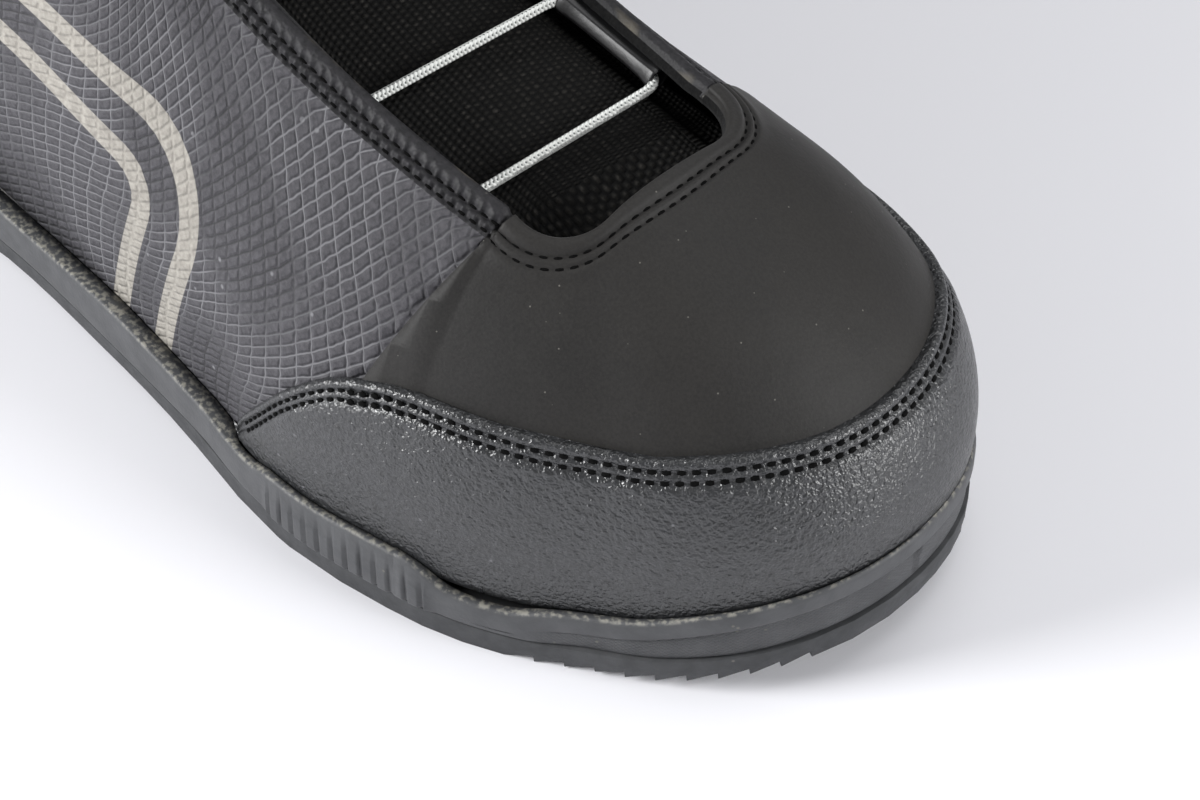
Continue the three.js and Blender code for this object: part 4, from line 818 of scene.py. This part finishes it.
# Near its ends the rand is too low for the whole profile, which is then drawn closer, and it thins out.
RAND_FULL, RAND_THIN, RAND_OUT, RAND_FOOT = 16, 0.15, 2.0, 0.015
narrow, thick = np.minimum(1, RAND_LENGTH / RAND_FULL), mix(RAND_THIN, 1, rand_share(RAND_T))
rows = [(up_below(RAND_T, RAND_TOP, d * narrow), rand_profile(d) * thick) for d in RAND_ROWS]
rows += [(mix(RAND_FOOT, rows[-1][0], s), RAND_OUT * thick) for s in np.linspace(1, 0, 30)[1:]]
rows += [(mix(RAND_FOOT, RAND_TOP, s), GAP + 0 * thick) for s in (0, 0.5, 1)]
ups = np.array([up for up, _ in rows])
bm = loft(offset(np.broadcast_to(RAND_T, ups.shape), ups, np.array([out for _, out in rows])))
finish_piece(close_ends(bm), "toe_bumper", [rand_plastic], ["toe_rand"])

# %% [markdown]
# ## The sole
# A cup of moulded foam carries the boot. Its wall has a block of vertical ribs beside the ball of the
# foot and a finely hatched panel round the toe, set back under a smooth band.

# %% Sole outline
RIB_START, RIB_PITCH, RIB_COUNT = SOLE_LENGTH * 0.643 - HEEL_BACK, 3.6, 12
RIB_WIDTH, RIB_DEPTH, RIB_STEP, SIDE_STEP, SIDE_BAND = 1.4, 0.9, 0.8, 0.9, 5.0
MIDSOLE_BOTTOM = LUG_HEIGHT + OUTSOLE_PLATE + GAP


def sole_outline(t, out, z):
    """The sole's outline, moved out level by a distance, at a height."""
    p, n = surface(t, 0), normal(t, 0)
    n = n[..., :2] / np.linalg.norm(n[..., :2], axis=-1, keepdims=True)
    xy = p[..., :2] + n * (MARGIN + np.broadcast_to(out, np.shape(t)))[..., None]
    return np.concatenate([xy, np.broadcast_to(z, np.shape(t))[..., None]], -1)


def rib_step(x):
    """How far the wall stands out: a block with a row of vertical grooves."""
    past = (x - RIB_START) / RIB_PITCH
    from_groove = np.abs(past % 1 - 0.5) * RIB_PITCH
    ends = smooth(0, 0.3, past) * smooth(RIB_COUNT, RIB_COUNT - 0.3, past)
    step_out = RIB_STEP * ends - RIB_DEPTH * np.maximum(0, 1 - from_groove / (RIB_WIDTH / 2))
    return np.where((past < 0) | (past > RIB_COUNT), 0, step_out)


# Places of the wall's columns: an even step, and closer ones at each groove's middle and edges.
SOLE_STEP, GROOVE_PLACES, BEFORE_TOE = 2.4, (-0.75, -0.5, -0.12, 0.12, 0.5, 0.75), 50
fine_t = np.linspace(-1, 1, 4001)
fine_run = run_length(sole_outline(fine_t, 0, 0.0))
SOLE_T = list(np.interp(np.arange(0, fine_run[-1], SOLE_STEP), fine_run, fine_t)) + [1.0]
for side in (-1, 1):
    half = fine_t[len(fine_t) // 2 :] * side
    x_of = sole_outline(half, 0, 0.0)[:, 0]
    rising = x_of[: np.argmax(x_of) - BEFORE_TOE]
    for groove in range(RIB_COUNT):
        groove_x = RIB_START + RIB_PITCH * (groove + 0.5)
        for shift in GROOVE_PLACES:
            SOLE_T.append(np.interp(groove_x + RIB_WIDTH * shift, rising, half[: len(rising)]))
SOLE_T = np.array(sorted(SOLE_T))
SOLE_T = SOLE_T[np.concatenate([[True], np.diff(SOLE_T) > 1e-4])]
SOLE_T[-1] = 1.0
print("sole outline", round(float(fine_run[-1])), "mm round,", len(SOLE_T), "places")

# %% Foam cup
sole_x = sole_outline(SOLE_T, 0, 0.0)[:, 0]
low_z, top_z = MIDSOLE_BOTTOM + spring(sole_x), spring(sole_x) + sole_edge(along(sole_x))
rib, toe = rib_step(sole_x), smooth(0.84, 0.88, along(sole_x))
shelf, middle = -SIDE_STEP * toe, mix(low_z + 1.2, top_z - SIDE_BAND, 0.5)
band_z = top_z - SIDE_BAND
room = GAP + (RAND_THICKNESS + GAP) * rand_share(SOLE_T)
# Each row of the wall, from below: how far out, how high, and whether the hatched panel covers it.
wall = [
    (shelf - 1.2, low_z, 0),
    (shelf - 0.5, low_z + 0.05, 0),
    (shelf - 0.1 + rib * 0.8, low_z + 0.4, 1),
    (shelf + rib, low_z + 1.2, 1),
    (shelf + rib * 0.95, middle, 1),
    (shelf + rib * 0.8, band_z - 0.5, 1),
    (shelf - 0.25 * toe + rib * 0.8, band_z - 0.15, 0),
    (shelf * 0.8 + rib * 0.7, band_z + 0.15, 0),
    (shelf * 0.1 + rib * 0.6, band_z + 0.45, 0),
    (rib * 0.5, band_z + 0.9, 0),
    (rib * 0.3, top_z - 3, 0),
    (0 * rib, top_z - 1.2, 0),
    (0 * rib - 0.15, top_z - 0.6, 0),
    (0 * rib - 0.5, top_z - 0.15, 0),
    (0 * rib - 0.9, top_z, 0),
]
cup = [sole_outline(SOLE_T, out, z) for out, z, _ in wall]
lip = offset(SOLE_T, up_at_height(SOLE_T, top_z), room)
for share in (0.3, 1.0):
    p = mix(cup[-1], lip, share)
    p[:, 2] = top_z - 0.1 * share
    cup.append(p)
inside = sole_outline(SOLE_T, room - MARGIN, cup_floor(surface(SOLE_T, 0)[:, 0]))
p = mix(lip, inside, 0.25)
p[:, 2] = top_z - 2.5
cup = np.array([*cup, p, inside])
run = np.broadcast_to(np.interp(SOLE_T, fine_t, fine_run), cup.shape[:2])
wall_run = np.stack([run, cup[..., 2], 0 * run], -1)
panel = np.zeros(cup.shape[:2])
for row, (_, _, covered) in enumerate(wall):
    panel[row] = covered * toe
bm = loft(cup, {"wall_run": wall_run * MM, "panel": panel, "edge_mm": top_z[None, :] - cup[..., 2]})
finish_piece(close_ends(bm), "foam_cup", [foam], ["midsole"])

# %% Rubber sole and insole
bm = copy_of("outsole")
sharp = [e for e in bm.edges if e.calc_face_angle(0) > 0.9]
bmesh.ops.bevel(bm, geom=sharp, offset=0.12 * MM, offset_type="OFFSET", segments=1, profile=0.5,
                affect="EDGES", material=-1, clamp_overlap=True)
finish_piece(bm, "rubber_sole", [rubber], ["outsole"])
finish_piece(copy_of("insole"), "felt_insole", [felt], ["insole"])

# %% [markdown]
# ## The tongue
# A padded knit tongue lies under the lace. It is the CAD solid with its facets smoothed by
# subdivision; the loops of the knit follow two measures kept on its vertices, across the tongue and
# along its middle line.

# %% Tongue
bm = copy_of("tongue")
middle_t = np.concatenate([np.linspace(COLLAR_END, THROAT_START, 80), np.linspace(THROAT_START, 1, 40)[1:]])
middle_line = (surface(-middle_t, 1.0) + surface(middle_t, 1.0)) / 2
middle_run = run_length(middle_line)
knit_layer = bm.verts.layers.float_vector.new("knit_run")
for v in bm.verts:
    place = np.array(v.co) / MM
    nearest = np.argmin(np.linalg.norm(middle_line - place, axis=1))
    ahead = middle_line[min(nearest + 1, len(middle_line) - 1)] - middle_line[max(nearest - 1, 0)]
    past = (place - middle_line[nearest]) @ ahead / np.linalg.norm(ahead)
    v[knit_layer] = (place[1], middle_run[nearest] + past, 0)
tongue = finish_piece(bm, "knit_tongue", [knit], ["tongue"])
smoothing = tongue.modifiers.new("smooth", "SUBSURF")
smoothing.levels = smoothing.render_levels = 2

# %% [markdown]
# ## Lace and guides
# One thin round braid runs across the tongue from side to side. At the sides it passes through short
# moulded guides under the throat's edge; each has a wider six-sided mouth where the lace turns in.

# %% Lace
GUIDE_WALL, GUIDE_WIDTH, LACE_DIAMETER, LACE_BARS = 0.8, 4.2, 2.0, 9
INNER_INSET = 2.2  # from the throat's edge on the inner side
LACE_INSET = INNER_INSET + GUIDE_WIDTH / 2
LACE_DEPTH = WALL + GAP + (2 * GUIDE_WALL + LACE_DIAMETER + 2 * GAP) / 2
# The lowest bar lies this share of the way down the throat's sides, the highest this far below the collar.
BAR_FIRST, BAR_TOP = 0.968, 14.0


def guide_point(t):
    """Middle of the guides; on the inner side they sit closer to the throat's edge."""
    t = np.atleast_1d(np.asarray(t, float))
    return offset(t, up_below(t, 1.0, np.where(t > 0, INNER_INSET, LACE_INSET), 40), -LACE_DEPTH)


bar_place = np.linspace(COLLAR_END, mix(COLLAR_END, THROAT_START, BAR_FIRST), 401)
bar_run = run_length(surface(-bar_place, 1.0))
bar_pitch = (bar_run[-1] - BAR_TOP) / (LACE_BARS - 1)
BARS = np.interp(bar_run[-1] - np.arange(LACE_BARS) * bar_pitch, bar_run, bar_place)
print(LACE_BARS, "bars, one every", round(float(bar_pitch), 1), "mm")


def lace_path():
    """Bars from side to side, joined by runs inside the guides."""
    path = []
    for bar in range(LACE_BARS):
        side = 1 if bar % 2 == 0 else -1
        a, b = guide_point(-side * BARS[bar])[0], guide_point(side * BARS[bar])[0]
        path += [mix(a, b, s) for s in np.linspace(0.035, 0.965, 40)]
        if bar + 1 < LACE_BARS:
            run = np.linspace(BARS[bar], BARS[bar + 1], 23)[1:-1]
            path += list(guide_point(side * run))
    path = np.array(path)
    for _ in range(3):  # three rounds of averaging round off the bends
        path[1:-1] = path[1:-1] / 2 + (path[:-2] + path[2:]) / 4
    return path


def sweep(path, radius, angles, name):
    """A cord along a path: one ring of points for each place, with angle and length as an attribute."""
    way = np.gradient(path, axis=0)
    way /= np.linalg.norm(way, axis=1, keepdims=True)
    across = np.cross(way[0], (0, 0, 1))
    rings, run = [], run_length(path)
    for p, w, r in zip(path, way, np.broadcast_to(radius, len(path))):
        across = across - w * (across @ w)
        across /= np.linalg.norm(across)
        over = np.cross(w, across)
        rings.append(p + r * (np.cos(angles)[:, None] * across + np.sin(angles)[:, None] * over))
    angle = np.broadcast_to(angles / (2 * math.pi), (len(path), len(angles)))
    length = np.broadcast_to(run[:, None], angle.shape)
    return loft(np.array(rings), {name: np.stack([angle, length, 0 * angle], -1)})


bm = sweep(lace_path(), LACE_DIAMETER / 2, np.linspace(0, 2 * math.pi, 13), "braid")
finish_piece(close_ends(bm), "braided_lace", [braid], ["lace"])

# %% Guides
# Places along a guide, as shares of the way between two bars, and its outer radius at each: wide mouths.
GUIDE_PLACES = np.array([0.03, 0.05, 0.09, 0.15, 0.3, 0.5, 0.7, 0.85, 0.91, 0.95, 0.97])
GUIDE_RADII = np.array([3.0, 3.1, 3.0, 2.6, 2.4, 2.4, 2.4, 2.6, 3.0, 3.1, 3.0])
six = np.radians(np.arange(0, 361, 60))
for bar in range(LACE_BARS - 1):
    side = 1 if bar % 2 == 0 else -1
    path = guide_point(side * mix(BARS[bar], BARS[bar + 1], GUIDE_PLACES))
    path = np.concatenate([path, path[::-1], path[:1]])
    radius = np.concatenate([GUIDE_RADII, (GUIDE_RADII - GUIDE_WALL)[::-1], GUIDE_RADII[:1]])
    way = np.gradient(path[: len(GUIDE_PLACES)], axis=0)
    way /= np.linalg.norm(way, axis=1, keepdims=True)
    way = np.concatenate([way, way[::-1], way[:1]])
    across = np.cross(way, (0, 0, 1))
    across /= np.linalg.norm(across, axis=1, keepdims=True)
    over = np.cross(way, across)
    rings = path[:, None] + radius[:, None, None] * (
        np.cos(six)[None, :, None] * across[:, None] + np.sin(six)[None, :, None] * over[:, None]
    )
    bm = loft(rings)
    sharp = [e for e in bm.edges if e.calc_face_angle(0) > 0.7]
    bmesh.ops.bevel(bm, geom=sharp, offset=0.3 * MM, segments=2, profile=0.5, affect="EDGES",
                    material=-1, clamp_overlap=True)
    name = f"lace_guide_{'inner' if side > 0 else 'outer'}_{bar // 2 + 1}"
    finish_piece(bm, "moulded_" + name, [guide_nylon], [name])

# %% [markdown]
# ## Stitches
# Each stitch is a small bead of dark thread, 2 mm long, sunk in the channel of its row. A row is a
# line on the boot's surface; the beads sit on it at an even pitch and lie along it.


# %% Stitches
def boot_edge(t):
    return np.ones_like(t)


def row_of(ts, top_of, distance, out, pitch):
    """Places, directions and normals of the stitches along a line that lies a distance below another."""

    def up_of(t):
        return up_below(t, top_of(t), distance)

    run = run_length(offset(ts, up_of(ts), out))
    wanted = np.arange(pitch / 2, run[-1], pitch)
    ahead = np.interp(wanted + 0.4, run, ts)
    t = np.interp(wanted, run, ts)
    n = normal(t, up_of(t))
    place = surface(t, up_of(t)) + n * out
    way = offset(ahead, up_of(ahead), out) - place
    return list(zip(place + n * seam_lift(place)[:, None], way, n))


def sew(name, rows, long=1.0, wide=0.42, high=0.3):
    """One bead for each stitch. A few are made at a time, because an operator slows down on a full mesh."""
    beads = [bead for row in rows for bead in row]
    bm, part = bmesh.new(), bpy.data.meshes.new("beads")
    for start in range(0, len(beads), AT_A_TIME):
        few = bmesh.new()
        for place, way, n in beads[start : start + AT_A_TIME]:
            way, n = Vector(way).normalized(), Vector(n)
            turn = Matrix((way, n.cross(way), n)).transposed().to_4x4()
            size = Matrix.Diagonal((long * MM, wide * MM, high * MM, 1))
            matrix = Matrix.Translation(Vector(place) * MM) @ turn @ size
            bmesh.ops.create_uvsphere(few, u_segments=6, v_segments=5, radius=1, matrix=matrix)
        few.to_mesh(part)
        few.free()
        bm.from_mesh(part)
    bpy.data.meshes.remove(part)
    finish_piece(bm, name, [thread])


AT_A_TIME = 40
throat_t = np.concatenate([np.linspace(0.3, 1, 240), np.linspace(-1, -0.3, 240)[1:] + 2])
collar_t = np.linspace(-0.29, 0.29, 160)
edge_lines = [(ts, d) for ts in (throat_t, collar_t) for d in EDGE_STITCHES]
edge_rows = [row_of(ts, boot_edge, d, float(edge_profile(d)), STITCH) for ts, d in edge_lines]
sew("edge_stitches", edge_rows, wide=0.5)
rand_t = np.linspace(RAND_T[4], RAND_T[-5], 400)
rand_rows = [row_of(rand_t, rand_top, d, float(rand_profile(d)) + 0.08, STITCH) for d in RAND_STITCHES]
sew("rand_stitches", rand_rows, wide=0.72, high=0.34)

# %% [markdown]
# ## Floor, light and camera
# A white paper floor, a dim white room and three soft boxes, as in a product photograph. The two low
# ones stand left and right of the camera and draw a gloss on each shoulder of the rand, with a darker
# part between.

# %% Stage
bm = bmesh.new()
bmesh.ops.create_grid(bm, x_segments=1, y_segments=1, size=4)
mesh = bpy.data.meshes.new("floor")
bm.to_mesh(mesh)
bm.free()
floor = bpy.data.objects.new("floor", mesh)
bpy.context.scene.collection.objects.link(floor)
mesh.materials.append(material("pale paper", Base_Color="#f3f3f7", Roughness=0.9, Specular_IOR_Level=0.1))

world = bpy.data.worlds.new("studio")
world.use_nodes = True
background = world.node_tree.nodes["Background"]
background.inputs["Color"].default_value = linear("#f7f8fd")
background.inputs["Strength"].default_value = 0.25
bpy.context.scene.world = world
bpy.context.scene.view_settings.view_transform = "Standard"


def soft_box(name, place, target, size, watts):
    """A round area light that looks at a target."""
    data = bpy.data.lights.new(name, "AREA")
    data.energy, data.size, data.shape = watts, size, "DISK"
    lamp = bpy.data.objects.new(name, data)
    turn = (Vector(target) - Vector(place)).to_track_quat("-Z", "Y").to_matrix().to_4x4()
    lamp.matrix_world = Matrix.Translation(place) @ turn
    bpy.context.scene.collection.objects.link(lamp)


soft_box("left", (-0.38, -0.84, 0.5), (0.2, 0, 0.03), 0.5, 16)
soft_box("right", (1.15, 0.38, 0.44), (0.2, 0, 0.03), 0.6, 9)
soft_box("above", (0.2, 0.7, 1.5), (0.3, 0.2, 0), 1.4, 9)

AZIMUTH, ELEVATION, DISTANCE, TARGET = 45.8, 46.0, 0.600, Vector((0.200, -0.0036, 0.030))
a, e = math.radians(AZIMUTH), math.radians(ELEVATION)
back = Vector((math.sin(a) * math.cos(e), -math.cos(a) * math.cos(e), math.sin(e)))
camera = bpy.data.objects.new("camera", bpy.data.cameras.new("camera"))
camera.data.lens, camera.data.sensor_width, camera.data.clip_start = 90, 36, 0.05
camera.location = TARGET + back * DISTANCE
camera.rotation_euler = back.to_track_quat("Z", "Y").to_euler()
bpy.context.scene.collection.objects.link(camera)
bpy.context.scene.camera = camera
print("camera at", [round(c, 3) for c in camera.location])
